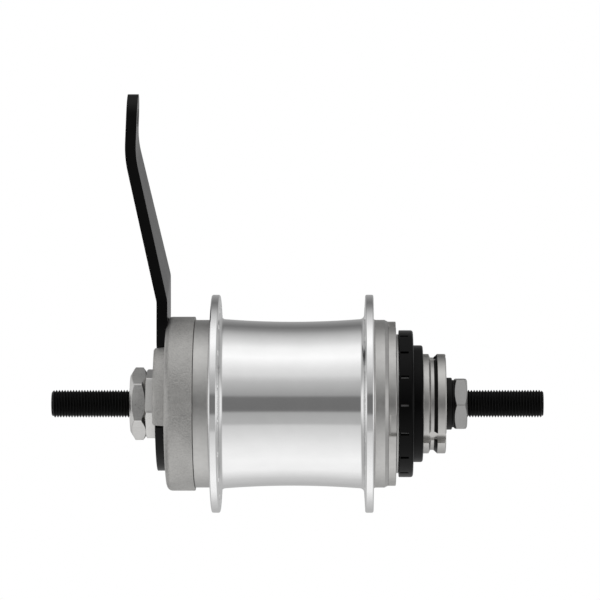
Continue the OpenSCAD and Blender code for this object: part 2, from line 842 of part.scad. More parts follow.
// Two crossed bars, for the dogs between driver and cage
module dog_cross(w) {
  along_axle() for (a = [45, 135]) rotate([0, 0, a])
    translate([-plate_r, -w / 2, 0]) cube([2 * plate_r, w, driver_seat_x]);
}

// The black stepped cap pressed onto the driver
module driver_dust_cap() {
  slot_turn = -1.6;
  inner_r = driver_shoulder_r + slip;
  color("#151516") difference() {
    turned() polygon(concat(
      [[cap_r - cap_wall, cap_x0], [cap_r, cap_x0]],
      arc([cap_r - cap_round, cap_step_x - cap_round], cap_round, 0, 90),
      [[cap_small_r, cap_step_x]],
      arc([cap_small_r - cap_small_round, driver_seat_x - cap_small_round], cap_small_round, 0, 90),
      [[inner_r, driver_seat_x], [inner_r, cap_step_x - cap_wall],
       [cap_r - cap_wall, cap_step_x - cap_wall]]
    ));
    along_axle() for (k = [0 : dust_cap_slots - 1])
      rotate([0, 0, turn(slot_turn + k * 360 / dust_cap_slots)])
        translate([cap_r - 2 * cap_wall, -cap_slot_w / 2, cap_slot_x0])
          cube([3 * cap_wall, cap_slot_w, cap_slot_l]);
  }
}

// The seal in the driver's mouth
module driver_seal() {
  color("#2a2a2a") ring(seal_r, driver_mouth_r - slip, seal_x0, seal_x1);
}

// The cage: brake screw, boss with the low pawls, and posts between the planets
module planet_cage() {
  color("#86868a") difference() {
    union() {
      turned() polygon([
        [axle_core_r + cage_bore_gap, screw_x0], [screw_r, screw_x0], [screw_r, boss_x0],
        [boss_r, boss_x0], [boss_r, boss_x1], [axle_core_r + cage_bore_gap, boss_x1]
      ]);
      along_axle() for (k = [0 : planets - 1]) rotate([0, 0, (k + 0.5) * 360 / planets])
        translate([post_orbit_r, 0, boss_x1 - edge_break])
          cylinder(r = post_r, h = plate_x0 - slip - boss_x1 + edge_break);
    }
    along_axle() {
      for (k = [0 : planets - 1]) {
        rotate([0, 0, k * 360 / planets]) translate([planet_orbit_r, 0, planet_pin_x0 - 2 * slip])
          cylinder(r = planet_pin_r + slip, h = boss_x1);
        rotate([0, 0, (k + 0.5) * 360 / planets])
          translate([post_orbit_r, 0, cage_screw_x0 - 2 * slip])
            cylinder(r = cage_screw_r + slip, h = boss_x1);
      }
      for (k = [0 : pawls - 1]) rotate([0, 0, k * 360 / pawls]) {
        translate([low_pivot_r, 0, boss_x0 - overcut])
          cylinder(r = pawl_pin_r + slip / 2, h = low_pin_x0 + low_pin_l + 2 * slip - boss_x0 + overcut);
        translate([low_pivot_r, 0, low_pawl_x0 - pocket_gap])
          cylinder(r = pawl_barrel_r + slip, h = low_pawl_x1 - low_pawl_x0 + 2 * pocket_gap);
        translate([0, 0, low_pawl_x0 - pocket_gap])
          linear_extrude(low_pawl_x1 - low_pawl_x0 + 2 * pocket_gap) polygon([
            [low_pocket_r, 0], [boss_r + 2, 0], polar(boss_r + 4, -nose_angle / 2),
            polar(boss_r + 2, -nose_angle - pocket_angle),
            polar(low_pocket_r, -nose_angle - pocket_angle)
          ]);
      }
    }
  }
}

// The plate that closes the cage and takes the driver's dogs
module planet_cage_plate() {
  color("#909093") difference() {
    ring(driver_bore_r - 2 * slip, plate_r, plate_x0, plate_x1);
    intersection() {
      ring(driver_bore_r - overcut, dog_r + 2 * slip, dog_x0 - 2 * slip, plate_x1 + overcut);
      dog_cross(dog_w + 2 * slip);
    }
    along_axle() for (k = [0 : planets - 1]) {
      rotate([0, 0, k * 360 / planets]) translate([planet_orbit_r, 0, plate_x0 - overcut])
        cylinder(r = planet_pin_r + slip, h = planet_pin_x0 + planet_pin_l + slip - plate_x0 + overcut);
      rotate([0, 0, (k + 0.5) * 360 / planets]) translate([post_orbit_r, 0, 0]) {
        cylinder(r = cage_screw_r + slip, h = driver_x0);
        translate([0, 0, screw_head_x0 - slip]) cylinder(r = screw_head_r + 2 * slip, h = plate_x1);
      }
    }
  }
}

// The four screws through the plate into the posts
module cage_screws() {
  color("#4b4b4d") along_axle() for (k = [0 : planets - 1])
    rotate([0, 0, (k + 0.5) * 360 / planets]) translate([post_orbit_r, 0, 0]) difference() {
      union() {
        translate([0, 0, cage_screw_x0]) cylinder(r = cage_screw_r, h = cage_screw_l);
        translate([0, 0, screw_head_x0]) cylinder(r = screw_head_r, h = screw_head_l);
      }
      translate([0, 0, screw_socket_x0]) cylinder(r = screw_socket_r, h = screw_head_l, $fn = 6);
    }
}

// The four planet pins
module planet_pins() {
  color("#a5a5a8") along_axle() for (k = [0 : planets - 1]) rotate([0, 0, k * 360 / planets])
    translate([planet_orbit_r, 0, planet_pin_x0]) cylinder(r = planet_pin_r, h = planet_pin_l);
}

// The pins of the low gear pawls
module low_pawl_pins() {
  color("#a5a5a8") along_axle() for (k = [0 : pawls - 1]) rotate([0, 0, k * 360 / pawls])
    translate([low_pivot_r, 0, low_pin_x0]) cylinder(r = pawl_pin_r, h = low_pin_l);
}

// A spring coil on each pawl pin, in a slot in the pawl's barrel
module pawl_springs(pivot_r, x) {
  along_axle() for (k = [0 : pawls - 1]) rotate([0, 0, k * 360 / pawls])
    translate([pivot_r, 0, x - pawl_spring_half + slip]) difference() {
      cylinder(r = pawl_barrel_r - 2 * slip, h = 2 * (pawl_spring_half - slip));
      translate([0, 0, -overcut]) cylinder(r = pawl_pin_r + slip, h = 2 * pawl_spring_half + 2 * overcut);
    }
}

module low_pawl_springs() {
  color("#55555a") pawl_springs(low_pivot_r, (low_pawl_x0 + low_pawl_x1) / 2);
}

// A planet gear on its bush; k counts round the cage from 0
module planet(k) {
  pitch_r = gear_module * planet_teeth / 2;
  at = k * 360 / planets;
  mesh_turn = 180 + at * sun_teeth / planet_teeth + 180 / planet_teeth;
  color("#a0a0a3") along_axle() rotate([0, 0, at]) translate([planet_orbit_r, 0, gear_x0])
    difference() {
      rotate([0, 0, mesh_turn]) linear_extrude(gear_x1 - gear_x0) polygon(gear_outline(
        planet_teeth, pitch_r - root_depth * gear_module, pitch_r + gear_module, backlash / 2));
      translate([0, 0, -overcut]) cylinder(r = planet_bush_r + slip, h = 3 * gear_x1);
    }
}

module planet_bush(k) {
  color("#b5894a") along_axle() rotate([0, 0, k * 360 / planets])
    translate([planet_orbit_r, 0, gear_x0 - bush_end]) difference() {
      cylinder(r = planet_bush_r, h = gear_x1 - gear_x0 + 2 * bush_end);
      translate([0, 0, -overcut]) cylinder(r = planet_pin_r + slip, h = 3 * gear_x1);
    }
}

module planet_gear_1() { planet(0); }
module planet_gear_2() { planet(1); }
module planet_gear_3() { planet(2); }
module planet_gear_4() { planet(3); }
module planet_bush_1() { planet_bush(0); }
module planet_bush_2() { planet_bush(1); }
module planet_bush_3() { planet_bush(2); }
module planet_bush_4() { planet_bush(3); }

/* Gear ring group */

// A slice of the gear ring's plain end, with the pawl pins' holes
module pin_slice(x0, x1) {
  translate([0, 0, x0]) linear_extrude(x1 - x0) difference() {
    circle(gear_ring_r);
    circle(gear_ring_bore_r);
    for (k = [0 : pawls - 1]) rotate(k * 360 / pawls) translate([high_pivot_r, 0])
      circle(pawl_pin_r + slip / 2);
  }
}

// The ring gear, with windows for the high gear pawls beyond its teeth
module gear_ring() {
  pitch_r = gear_module * ring_teeth / 2;
  planet_phase = 180 + 180 / planet_teeth;
  color("#8c8c90") along_axle() {
    translate([0, 0, gear_ring_x0]) linear_extrude(gear_ring_teeth_x - gear_ring_x0) difference() {
      circle(gear_ring_r);
      rotate(planet_phase * planet_teeth / ring_teeth) polygon(gear_outline(
        ring_teeth, pitch_r - gear_module, pitch_r + root_depth * gear_module, -backlash / 2));
    }
    pin_slice(gear_ring_teeth_x, high_pawl_x0 - window_gap);
    translate([0, 0, high_pawl_x0 - window_gap])
      linear_extrude(high_pawl_x1 - high_pawl_x0 + 2 * window_gap) difference() {
        circle(gear_ring_r);
        circle(gear_ring_bore_r);
        for (k = [0 : pawls - 1]) rotate(k * 360 / pawls) {
          translate([high_pivot_r, 0]) circle(pawl_barrel_r + slip);
          polygon([[0, 0], [2 * gear_ring_r, 0], polar(2 * gear_ring_r, -nose_angle - window_angle)]);
        }
      }
    pin_slice(high_pawl_x1 + window_gap, gear_ring_x1);
  }
}

// The pins of the high gear pawls
module high_pawl_pins() {
  color("#a5a5a8") along_axle() for (k = [0 : pawls - 1]) rotate([0, 0, k * 360 / pawls])
    translate([high_pivot_r, 0, high_pin_x0]) cylinder(r = pawl_pin_r, h = high_pin_l);
}

module high_pawl_springs() {
  color("#55555a") pawl_springs(high_pivot_r, (high_pawl_x0 + high_pawl_x1) / 2);
}

// The ring that a back-kick of the pedals turns to fold or free the high gear pawls
module selector_ring() {
  color("#7a7a70") along_axle() translate([0, 0, selector_x0]) linear_extrude(selector_l)
    difference() {
      circle(gear_ring_bore_r - selector_gap);
      circle(selector_bore_r);
      for (k = [0 : pawls - 1]) rotate([0, 0, k * 360 / pawls + 30]) translate([gear_ring_bore_r, 0])
        circle(selector_notch_r);
    }
}

// A pawl with its pivot at radius pivot_r on angle 0 and its nose behind it
module pawl(pivot_r, nose_r, x0, x1, k) {
  middle = (x0 + x1) / 2;
  color("#b0b0b2") along_axle() rotate([0, 0, k * 360 / pawls]) difference() {
    translate([0, 0, x0]) {
      translate([pivot_r, 0]) cylinder(r = pawl_barrel_r, h = x1 - x0);
      linear_extrude(x1 - x0) polygon([
        [pivot_r + pawl_barrel_r * pawl_root, -0.4], polar(nose_r, -nose_angle),
        polar(nose_r - nose_depth, -nose_angle), [pivot_r - pawl_barrel_r * pawl_root, -0.5]
      ]);
    }
    translate([pivot_r, 0, x0 - overcut])
      cylinder(r = pawl_pin_r + slip, h = x1 - x0 + 2 * overcut);
    translate([pivot_r, 0, middle - pawl_spring_half])
      cylinder(r = pawl_barrel_r + 4 * slip, h = 2 * pawl_spring_half);
  }
}

module high_pawl(k) { pawl(high_pivot_r, high_nose_r, high_pawl_x0, high_pawl_x1, k); }
module low_pawl(k) { pawl(low_pivot_r, low_nose_r, low_pawl_x0, low_pawl_x1, k); }
module high_pawl_1() { high_pawl(0); }
module high_pawl_2() { high_pawl(1); }
module high_pawl_3() { high_pawl(2); }
module low_pawl_1() { low_pawl(0); }
module low_pawl_2() { low_pawl(1); }
module low_pawl_3() { low_pawl(2); }

/* Bearings */

module left_balls() {
  color("#d8d8dc") balls(left_ball_r, left_pitch_r, left_ball_x, left_ball_n);
}

module left_ball_cage() {
  color("#a58a4e")
    ball_cage(left_ball_r, left_pitch_r, left_ball_x, left_ball_n, left_cage_half_w, 1);
}

module mid_balls() {
  color("#d8d8dc") balls(mid_ball_r, mid_pitch_r, mid_ball_x, mid_ball_n);
}

module mid_ball_cage() {
  color("#a58a4e")
    ball_cage(mid_ball_r, mid_pitch_r, mid_ball_x, mid_ball_n, small_cage_half_w, -1);
}

module right_balls() {
  color("#d8d8dc") balls(right_ball_r, right_pitch_r, right_ball_x, right_ball_n);
}

module right_ball_cage() {
  color("#a58a4e")
    ball_cage(right_ball_r, right_pitch_r, right_ball_x, right_ball_n, small_cage_half_w, -1);
}

/* Brake */

// The cone that travels along the cage's screw and spreads the shoes
module brake_cone() {
  small_r = taper_r - taper_gap - taper_slope * (shoe_x1 - brake_cone_x0);
  color("#97979a") turned() polygon([
    [screw_r + slip, brake_cone_x0], [small_r, brake_cone_x0], [taper_r - taper_gap, shoe_x1],
    [taper_r - taper_gap, friction_groove_x0], [friction_groove_r, friction_groove_x0],
    [friction_groove_r, friction_groove_x1], [taper_r - taper_gap, friction_groove_x1],
    [taper_r - taper_gap, brake_cone_x1], [screw_r + slip, brake_cone_x1]
  ]);
}

// The split ring that drags on the brake cone so that it screws along
module friction_spring() {
  color("#55555a") difference() {
    ring(friction_groove_r + slip, friction_spring_r, friction_groove_x0 + 2 * slip,
      friction_groove_x1 - 2 * slip);
    along_axle() translate([friction_groove_r - overcut, -ring_split / 2, friction_groove_x0])
      cube(ring_split);
  }
}

// A half-round brake shoe on the front (side 1) or back (side -1), tapered inside at both ends
module brake_shoe(side) {
  spread_r = taper_r + shoe_travel;
  small_r = shoe_bore_r + shoe_travel;
  color("#b4a27a") difference() {
    ring(shoe_bore_r, shoe_r, shoe_x0, shoe_x1);
    translate([0, side * shoe_travel, 0]) turned() polygon([
      [0, shoe_x0 - overcut], [spread_r + taper_slope * overcut, shoe_x0 - overcut],
      [small_r, shoe_x0 + taper_l], [0, shoe_x0 + taper_l]
    ]);
    translate([0, side * shoe_travel, 0]) turned() polygon([
      [0, shoe_x1 + overcut], [spread_r + taper_slope * overcut, shoe_x1 + overcut],
      [small_r, shoe_x1 - taper_l], [0, shoe_x1 - taper_l]
    ]);
    ring(shoe_groove_r, shoe_r + overcut, shoe_groove_x0, shoe_groove_x1);
    translate([-flange_mid, side < 0 ? -3 * shoe_r : -shoe_split, -2 * shoe_r])
      cube([3 * flange_mid, 3 * shoe_r + shoe_split, 4 * shoe_r]);
  }
}

module brake_shoe_1() { brake_shoe(1); }
module brake_shoe_2() { brake_shoe(-1); }

axle();
sun_gear();
sun_circlip();
left_locknut();
arm_nut();
arm_washer();
brake_arm();
left_cone();
brake_side_cover();
cover_seal();
shoe_anchor();
shoe_spring();
cage_thrust_washer();
right_cone();
right_lock_washer();
right_locknut();
hub_shell();
left_bearing_cup();
left_dust_shield();
brake_drum_liner();
low_ratchet_ring();
right_ball_ring();
driver();
driver_dust_cap();
driver_seal();
planet_cage();
planet_cage_plate();
cage_screws();
planet_pins();
low_pawl_pins();
low_pawl_springs();
planet_gear_1();
planet_gear_2();
planet_gear_3();
planet_gear_4();
planet_bush_1();
planet_bush_2();
planet_bush_3();
planet_bush_4();
gear_ring();
high_pawl_pins();
high_pawl_springs();
selector_ring();
high_pawl_1();
high_pawl_2();
high_pawl_3();
low_pawl_1();
low_pawl_2();
low_pawl_3();
left_balls();
left_ball_cage();
mid_balls();
mid_ball_cage();
right_balls();
right_ball_cage();
brake_cone();
friction_spring();
brake_shoe_1();
brake_shoe_2();
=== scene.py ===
"""Looks for a bicycle hub gear: turned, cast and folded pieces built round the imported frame.

Stations (x) run along the axle from the middle between the flanges, radii (r) from the axle's
axis, both in millimetres. Elevations (e) go round the axle in degrees: 0 faces the camera
(-Y) and 90 points up (+Z). Pieces are made in metres, in the frame's own coordinates.
"""

import json
import math

import bpy
import bmesh
import numpy as np
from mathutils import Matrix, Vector


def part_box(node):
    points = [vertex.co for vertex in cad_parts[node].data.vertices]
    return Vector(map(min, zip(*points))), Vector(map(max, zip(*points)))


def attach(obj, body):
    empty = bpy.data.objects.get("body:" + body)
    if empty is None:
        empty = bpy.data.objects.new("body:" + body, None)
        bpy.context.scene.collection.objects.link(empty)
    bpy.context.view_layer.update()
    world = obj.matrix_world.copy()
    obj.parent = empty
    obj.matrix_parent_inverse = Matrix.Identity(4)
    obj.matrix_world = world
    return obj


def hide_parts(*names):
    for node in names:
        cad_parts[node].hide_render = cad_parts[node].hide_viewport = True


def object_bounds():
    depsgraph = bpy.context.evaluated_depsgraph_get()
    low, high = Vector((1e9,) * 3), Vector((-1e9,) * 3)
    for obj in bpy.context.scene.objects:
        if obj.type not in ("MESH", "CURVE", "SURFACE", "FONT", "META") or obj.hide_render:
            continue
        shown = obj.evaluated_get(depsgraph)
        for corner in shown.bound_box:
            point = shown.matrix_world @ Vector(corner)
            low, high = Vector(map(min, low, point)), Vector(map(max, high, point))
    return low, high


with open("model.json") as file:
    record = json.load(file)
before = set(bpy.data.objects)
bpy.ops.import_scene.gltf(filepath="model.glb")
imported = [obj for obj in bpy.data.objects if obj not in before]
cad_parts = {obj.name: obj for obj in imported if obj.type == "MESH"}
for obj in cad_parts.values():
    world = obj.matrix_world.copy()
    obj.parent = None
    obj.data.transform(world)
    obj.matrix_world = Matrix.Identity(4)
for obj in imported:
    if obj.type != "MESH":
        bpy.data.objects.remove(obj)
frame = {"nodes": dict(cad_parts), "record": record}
cad_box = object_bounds()

MM = 0.001
SHELL_LEFT = -33.6  # station of the hub shell's left end
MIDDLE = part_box("hub_shell")[0].x / MM - SHELL_LEFT  # flange middle, in the frame's X

# ---------------------------------------------------------------- turned pieces


def outline(corners, closed=True, steps=5):
    """Points (x, r) of a profile whose corners (x, r, fillet) are rounded by their fillets."""
    points = []
    count = len(corners)
    for i, corner in enumerate(corners):
        here = np.array(corner[:2], float)
        fillet = corner[2] if len(corner) > 2 else 0
        if fillet == 0 or (not closed and i in (0, count - 1)):
            points.append(tuple(here))
            continue
        before = np.array(corners[i - 1][:2], float) - here
        after = np.array(corners[(i + 1) % count][:2], float) - here
        u, v = before / np.linalg.norm(before), after / np.linalg.norm(after)
        half = math.acos(float(np.clip(u @ v, -1, 1))) / 2
        reach = fillet / math.tan(half)
        centre = here + (u + v) / np.linalg.norm(u + v) * fillet / math.sin(half)
        start, end = here + u * reach - centre, here + v * reach - centre
        sweep = math.pi - 2 * half
        for k in range(steps + 1):
            t = k / steps
            arm = start * math.sin((1 - t) * sweep) + end * math.sin(t * sweep)
            points.append(tuple(centre + arm / math.sin(sweep)))
    return points


def arc(x, r, radius, start, end, steps=10):
    """Points (x, r) on a circle, with angles from the +x direction toward larger r."""
    angles = np.radians(np.linspace(start, end, steps + 1))
    return [(x + radius * math.cos(a), r + radius * math.sin(a)) for a in angles]


def around(count, edges=(), half_width=0.35):
    """Elevations spaced evenly round the axle, with five more across each edge."""
    even = np.arange(count) * 360 / count
    marks = np.array([e + half_width * k for e in edges for k in (-1, -0.5, 0, 0.5, 1)]) % 360
    if len(marks):
        away = np.abs(apart(even[:, None], marks[None, :])).min(axis=1)
        even = even[away > half_width * 0.6]
    return np.unique(np.round(np.concatenate([even, marks]), 6))


def apart(a, b):
    """Difference of two elevations, from -180 to 180."""
    return (a - b + 180) % 360 - 180


def inside(distance, half_width):
    """0 well outside an edge, 1 well inside it, with a smooth step across its width."""
    t = np.clip((distance / half_width + 1) / 2, 0, 1)
    return t * t * (3 - 2 * t)


def lower(a, b, blend):
    """The lower of a and b, rounded where they cross."""
    nearer = np.minimum(a, b)
    return nearer - blend * np.log(np.exp((nearer - a) / blend) + np.exp((nearer - b) / blend))


def finish_mesh(name, mesh, sharp=32):
    """Makes an object of a mesh with outward normals and smooth shading between sharp edges."""
    work = bmesh.new()
    work.from_mesh(mesh)
    bmesh.ops.recalc_face_normals(work, faces=work.faces)
    work.to_mesh(mesh)
    work.free()
    mesh.shade_smooth()
    mesh.set_sharp_from_angle(angle=math.radians(sharp))
    piece = bpy.data.objects.new(name, mesh)
    bpy.context.scene.collection.objects.link(piece)
    weighted = piece.modifiers.new("even_shading", "WEIGHTED_NORMAL")
    weighted.keep_sharp = True
    return piece


def turned(name, profile, elevations=None, shape=None, zone=None, sharp=32):
    """A closed mesh turned about the axle from a profile of (x, r) points.

    A profile that starts and ends at r = 0 is closed on the axis; any other is a loop round
    a bore. shape(x, r, e) moves the points, and zone(x, r) picks each face's material slot by
    the place that the face ended up at.
    """
    elevations = around(192) if elevations is None else elevations
    solid = profile[0][1] == 0 and profile[-1][1] == 0
    ends = (profile[0][0], profile[-1][0])
    rows = profile[1:-1] if solid else profile
    x = np.repeat(np.array([p[0] for p in rows], float)[:, None], len(elevations), axis=1)
    r = np.repeat(np.array([p[1] for p in rows], float)[:, None], len(elevations), axis=1)
    e = np.repeat(np.array(elevations, float)[None, :], len(rows), axis=0)
    if shape:
        x, r = shape(x, r, e)
    angle = np.radians(e)
    grid = np.stack([x + MIDDLE, -r * np.cos(angle), r * np.sin(angle)], axis=2) * MM
    points = [tuple(p) for p in grid.reshape(-1, 3)]
    high, wide = len(rows), len(elevations)
    faces, places = [], []
    for i in range(high if not solid else high - 1):
        n = (i + 1) % high
        for j in range(wide):
            k = (j + 1) % wide
            faces.append((i * wide + j, i * wide + k, n * wide + k, n * wide + j))
            places.append(((x[i, j] + x[n, k]) / 2, (r[i, j] + r[n, k]) / 2))
    if solid:
        for row, end in ((0, 0), (high - 1, 1)):
            points.append(((ends[end] + MIDDLE) * MM, 0, 0))
            pole = len(points) - 1
            for j in range(wide):
                faces.append((row * wide + j, row * wide + (j + 1) % wide, pole))
                places.append((ends[end], r[row, j] / 2))
    mesh = bpy.data.meshes.new(name)
    mesh.from_pydata(points, [], faces)
    if zone:
        mesh.polygons.foreach_set("material_index", [zone(*place) for place in places])
    return finish_mesh(name, mesh, sharp)


def place(piece, body, node, slot, *materials):
    """Gives a piece its materials and its body, and hides the CAD node that it stands for."""
    for material in materials:
        piece.data.materials.append(material)
    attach(piece, body)
    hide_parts(node)
    return piece


# ---------------------------------------------------------------- shell

SPOKE_CIRCLE = 33.7  # radius of the circle of spoke holes
SPOKE_HOLE = 1.3  # radius of one spoke hole
SPOKES_A_SIDE = 18
FLANGE = 26.5  # station of each flange's middle
FLANGE_HALF = 1.4  # half its thickness at the rim
ROOT_STEP = 0.5  # how much thicker a flange is where it meets the barrel
ROOT_FILLET = 1.5
SKIRT_R = 29.0
FLANGE_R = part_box("hub_shell")[1].z / MM
BARREL_R = 29.25  # at the flange roots
WAIST_R = 28.35  # half way between the flanges
SHELL_RIGHT = 32.9  # station of the shell's right end
SHELL_BORE = 26.05
RING_BORE = 27.05  # wider bore that the ball ring screws into, from RING_END to the right
RING_END = 17.5


def flange(side):
    """One flange with its skirt's inner end and its root on the barrel, outside first."""
    out, near = side * (FLANGE + FLANGE_HALF), side * (FLANGE - FLANGE_HALF)
    root = side * (FLANGE - FLANGE_HALF - ROOT_STEP)
    rim_round = 0.55
    corners = [(out, SKIRT_R, 0.8), (out, FLANGE_R, rim_round), (near, FLANGE_R, rim_round),
               (root, BARREL_R, ROOT_FILLET)]
    return corners if side < 0 else corners[::-1]


def barrel(half_length, steps=28):
    """The hollow line of the barrel between the flange roots."""
    stations = np.linspace(-half_length, half_length, steps + 1)
    return [(x, WAIST_R + (BARREL_R - WAIST_R) * (x / half_length) ** 2) for x in stations]


def spoke_cutter(side, number):
    """A spoke hole with a small countersink at each face, as a tool to cut with."""
    e = -90 - (number + (0.5 if side > 0 else 0)) * 360 / SPOKES_A_SIDE
    slope = 0.28  # how much thicker a flange is at the spoke circle than at the rim
    outer, inner = FLANGE + FLANGE_HALF, FLANGE - FLANGE_HALF - slope
    sink = 0.3
    beyond = 1  # how far the tool reaches past each face, widening at 45 degrees
    rings = [(outer + beyond, SPOKE_HOLE + sink + beyond), (outer - sink, SPOKE_HOLE),
             (inner + sink, SPOKE_HOLE), (inner - beyond, SPOKE_HOLE + sink + beyond)]
    centre_y = -SPOKE_CIRCLE * math.cos(math.radians(e))
    centre_z = SPOKE_CIRCLE * math.sin(math.radians(e))
    around_hole = 24
    points = [
        ((side * x + MIDDLE) * MM,
         (centre_y + r * math.cos(2 * math.pi * k / around_hole)) * MM,
         (centre_z + r * math.sin(2 * math.pi * k / around_hole)) * MM)
        for x, r in rings for k in range(around_hole)
    ]
    faces = [
        (i * around_hole + k, i * around_hole + (k + 1) % around_hole,
         (i + 1) * around_hole + (k + 1) % around_hole, (i + 1) * around_hole + k)
        for i in range(len(rings) - 1) for k in range(around_hole)
    ]
    faces.append(tuple(range(around_hole)))
    faces.append(tuple(range((len(rings) - 1) * around_hole, len(rings) * around_hole)))
    return points, faces


def cut(piece, cutters):
    """Cuts all the tools' shapes out of a piece and keeps the result as its mesh."""
    points, faces = [], []
    for tool_points, tool_faces in cutters:
        start = len(points)
        points += tool_points
        faces += [tuple(start + i for i in face) for face in tool_faces]
    mesh = bpy.data.meshes.new("cutters")
    mesh.from_pydata(points, [], faces)
    tool = finish_mesh("cutters", mesh)
    tool.modifiers.clear()
    boolean = piece.modifiers.new("holes", "BOOLEAN")
    boolean.operation, boolean.solver, boolean.object = "DIFFERENCE", "EXACT", tool
    piece.modifiers.move(len(piece.modifiers) - 1, 0)
    shading = piece.modifiers["even_shading"]
    shading.show_viewport = False
    depsgraph = bpy.context.evaluated_depsgraph_get()
    result = bpy.data.meshes.new_from_object(piece.evaluated_get(depsgraph))
    shading.show_viewport = True
    piece.modifiers.remove(boolean)
    piece.data = result
    result.set_sharp_from_angle(angle=math.radians(32))
    bpy.data.objects.remove(tool)


def hub_shell(polished, satin):
    """The shell with both flanges: polished on the barrel and flanges, satin elsewhere."""
    root = FLANGE - FLANGE_HALF - ROOT_STEP - ROOT_FILLET
    left = outline([(SHELL_LEFT, SHELL_BORE), (SHELL_LEFT, SKIRT_R, 0.12)] + flange(-1)
                   + [(-root + 3, BARREL_R)], closed=False)
    right = outline([(root - 3, BARREL_R)] + flange(1)
                    + [(31.7, SKIRT_R, 0.4), (SHELL_RIGHT, 28.4, 0.15), (SHELL_RIGHT, RING_BORE),
                       (RING_END, RING_BORE), (RING_END, SHELL_BORE)], closed=False)
    profile = left[:-1] + barrel(root)[1:-1] + right[1:]

    def zone(x, r):
        return 0 if abs(x) < FLANGE + FLANGE_HALF + 0.05 and r > 27.5 else 1

    piece = turned("shell", profile, around(288), zone=zone)
    cut(piece, [spoke_cutter(side, k) for side in (-1, 1) for k in range(SPOKES_A_SIDE)])
    return place(piece, "shell", "hub_shell", "polished_aluminium", polished, satin)


# ---------------------------------------------------------------- brake side

LUG_IN, LUG_OUT = 16.5, 22.9  # radii of the lugs' inner and outer walls
LUG_TOP = -47.5
LUG_ROUND = 0.9
LUG_DRAFT = 0.08  # taper of the casting's lugs
LUGS = ((19.25, 38.75), (160.75, 38.75))  # middle elevation and half sweep of each lug
RECESS = -42.85  # station of the floor that the arm's disc lies on
RECESS_R = 23.45
ARM_SLOT = 12.75  # half width of the channel that the arm lies in
COVER_FACE = -43.4
COVER_RIM = -33.7
COVER_FLOOR = -40.8  # station of the cover's inside face
COVER_R = 30.1
COVER_INNER_R = 27.2
COVER_BORE = 11.12


def side_cover(cast):
    """The cast cover: a cup with a recess for the arm's disc, two lugs and a channel for the arm."""
    steps = [0, 0.04, 0.12, 0.3, 0.55, LUG_ROUND]
    lug_rows = ([(RECESS, LUG_IN - 0.12)] + [(RECESS, LUG_IN + s) for s in steps]
                + [(RECESS, (LUG_IN + LUG_OUT) / 2)]
                + [(RECESS, LUG_OUT - s) for s in steps[::-1]] + [(RECESS, LUG_OUT + 0.12)])
    rim = outline([(RECESS, 23), (RECESS, RECESS_R, 0.12), (COVER_FACE, RECESS_R, 0.2),
                   (COVER_FACE, COVER_R, 2.0), (COVER_RIM, COVER_R, 0.15), (COVER_RIM, COVER_INNER_R, 0.2),
                   (COVER_FLOOR, COVER_INNER_R, 1.0), (COVER_FLOOR, COVER_BORE, 0.2),
                   (RECESS, COVER_BORE, 0.15), (RECESS, 12)], closed=False, steps=7)
    face = [(COVER_FACE, RECESS_R + 0.25 + k * 0.55) for k in range(8)]
    split = next(i for i, p in enumerate(rim) if p[0] < COVER_FACE + 0.01)
    after = next(i for i, p in enumerate(rim) if p[1] > 27.9)
    rim = rim[:split + 1] + face + rim[after:]
    profile = rim[:-1] + [(RECESS, 13)] + lug_rows
    edges = [m + s * h for m, h in LUGS for s in (-1, 1)]
    round_degrees = math.degrees(LUG_ROUND / LUG_OUT)
    marks = [m + s * (h - round_degrees * t) for m, h in LUGS for s in (-1, 1) for t in (0.15, 0.45, 1)]
    elevations = np.unique(np.concatenate([around(300, edges, 0.3), np.array(marks) % 360]))

    def shape(x, r, e):
        sweep = np.max([h - np.abs(apart(e, m)) for m, h in LUGS], axis=0) * math.pi / 180 * r
        wall = 0.1
        depth = np.minimum(np.minimum(r - LUG_IN, LUG_OUT - r), sweep)
        on_face = (x < RECESS + 0.01) & (r < 23.2) & (r > 12.5)
        rounding = np.clip(depth, 0, LUG_ROUND)
        drop = LUG_ROUND - np.sqrt(np.maximum(LUG_ROUND**2 - (LUG_ROUND - rounding) ** 2, 0))
        top = LUG_TOP + drop
        raised = RECESS + (top - RECESS) * inside(depth, wall)
        x = np.where(on_face & (depth > -wall), raised, x)
        draft = np.where(on_face & (r > LUG_OUT - LUG_ROUND), (RECESS - x) * LUG_DRAFT, 0)
        r = r - draft
        across = np.abs(r * np.cos(np.radians(e)))
        channel = inside(ARM_SLOT - across, 0.25) * (np.sin(np.radians(e)) > 0) * (r > 23.1)
        x = np.where(x < RECESS, x + (RECESS - x) * channel, x)
        return x, r

    piece = turned("side_cover", profile, elevations, shape, sharp=40)
    return place(piece, "axle_group", "brake_side_cover", "cast_aluminium", cast)


def brake_arm(paint):
    """A copy of the folded arm's CAD mesh, with its sharp edges rounded."""
    source = frame["nodes"]["brake_arm"].data
    mesh = source.copy()
    mesh.materials.clear()
    mesh.name = "brake_arm_sheet"
    work = bmesh.new()
    work.from_mesh(mesh)
    bmesh.ops.remove_doubles(work, verts=work.verts, dist=0.02 * MM)
    bmesh.ops.dissolve_limit(work, angle_limit=math.radians(0.6), verts=work.verts, edges=work.edges)
    work.to_mesh(mesh)
    work.free()
    mesh.normals_split_custom_set_from_vertices([(0, 0, 0)] * len(mesh.vertices))
    piece = finish_mesh("arm_sheet", mesh, sharp=35)
    bevel = piece.modifiers.new("edges", "BEVEL")
    bevel.width, bevel.segments = 0.45 * MM, 3
    bevel.limit_method, bevel.angle_limit = "ANGLE", math.radians(35)
    bevel.use_clamp_overlap = True
    piece.modifiers.move(1, 0)
    return place(piece, "axle_group", "brake_arm", "black_paint", paint)


# ---------------------------------------------------------------- nuts and axle

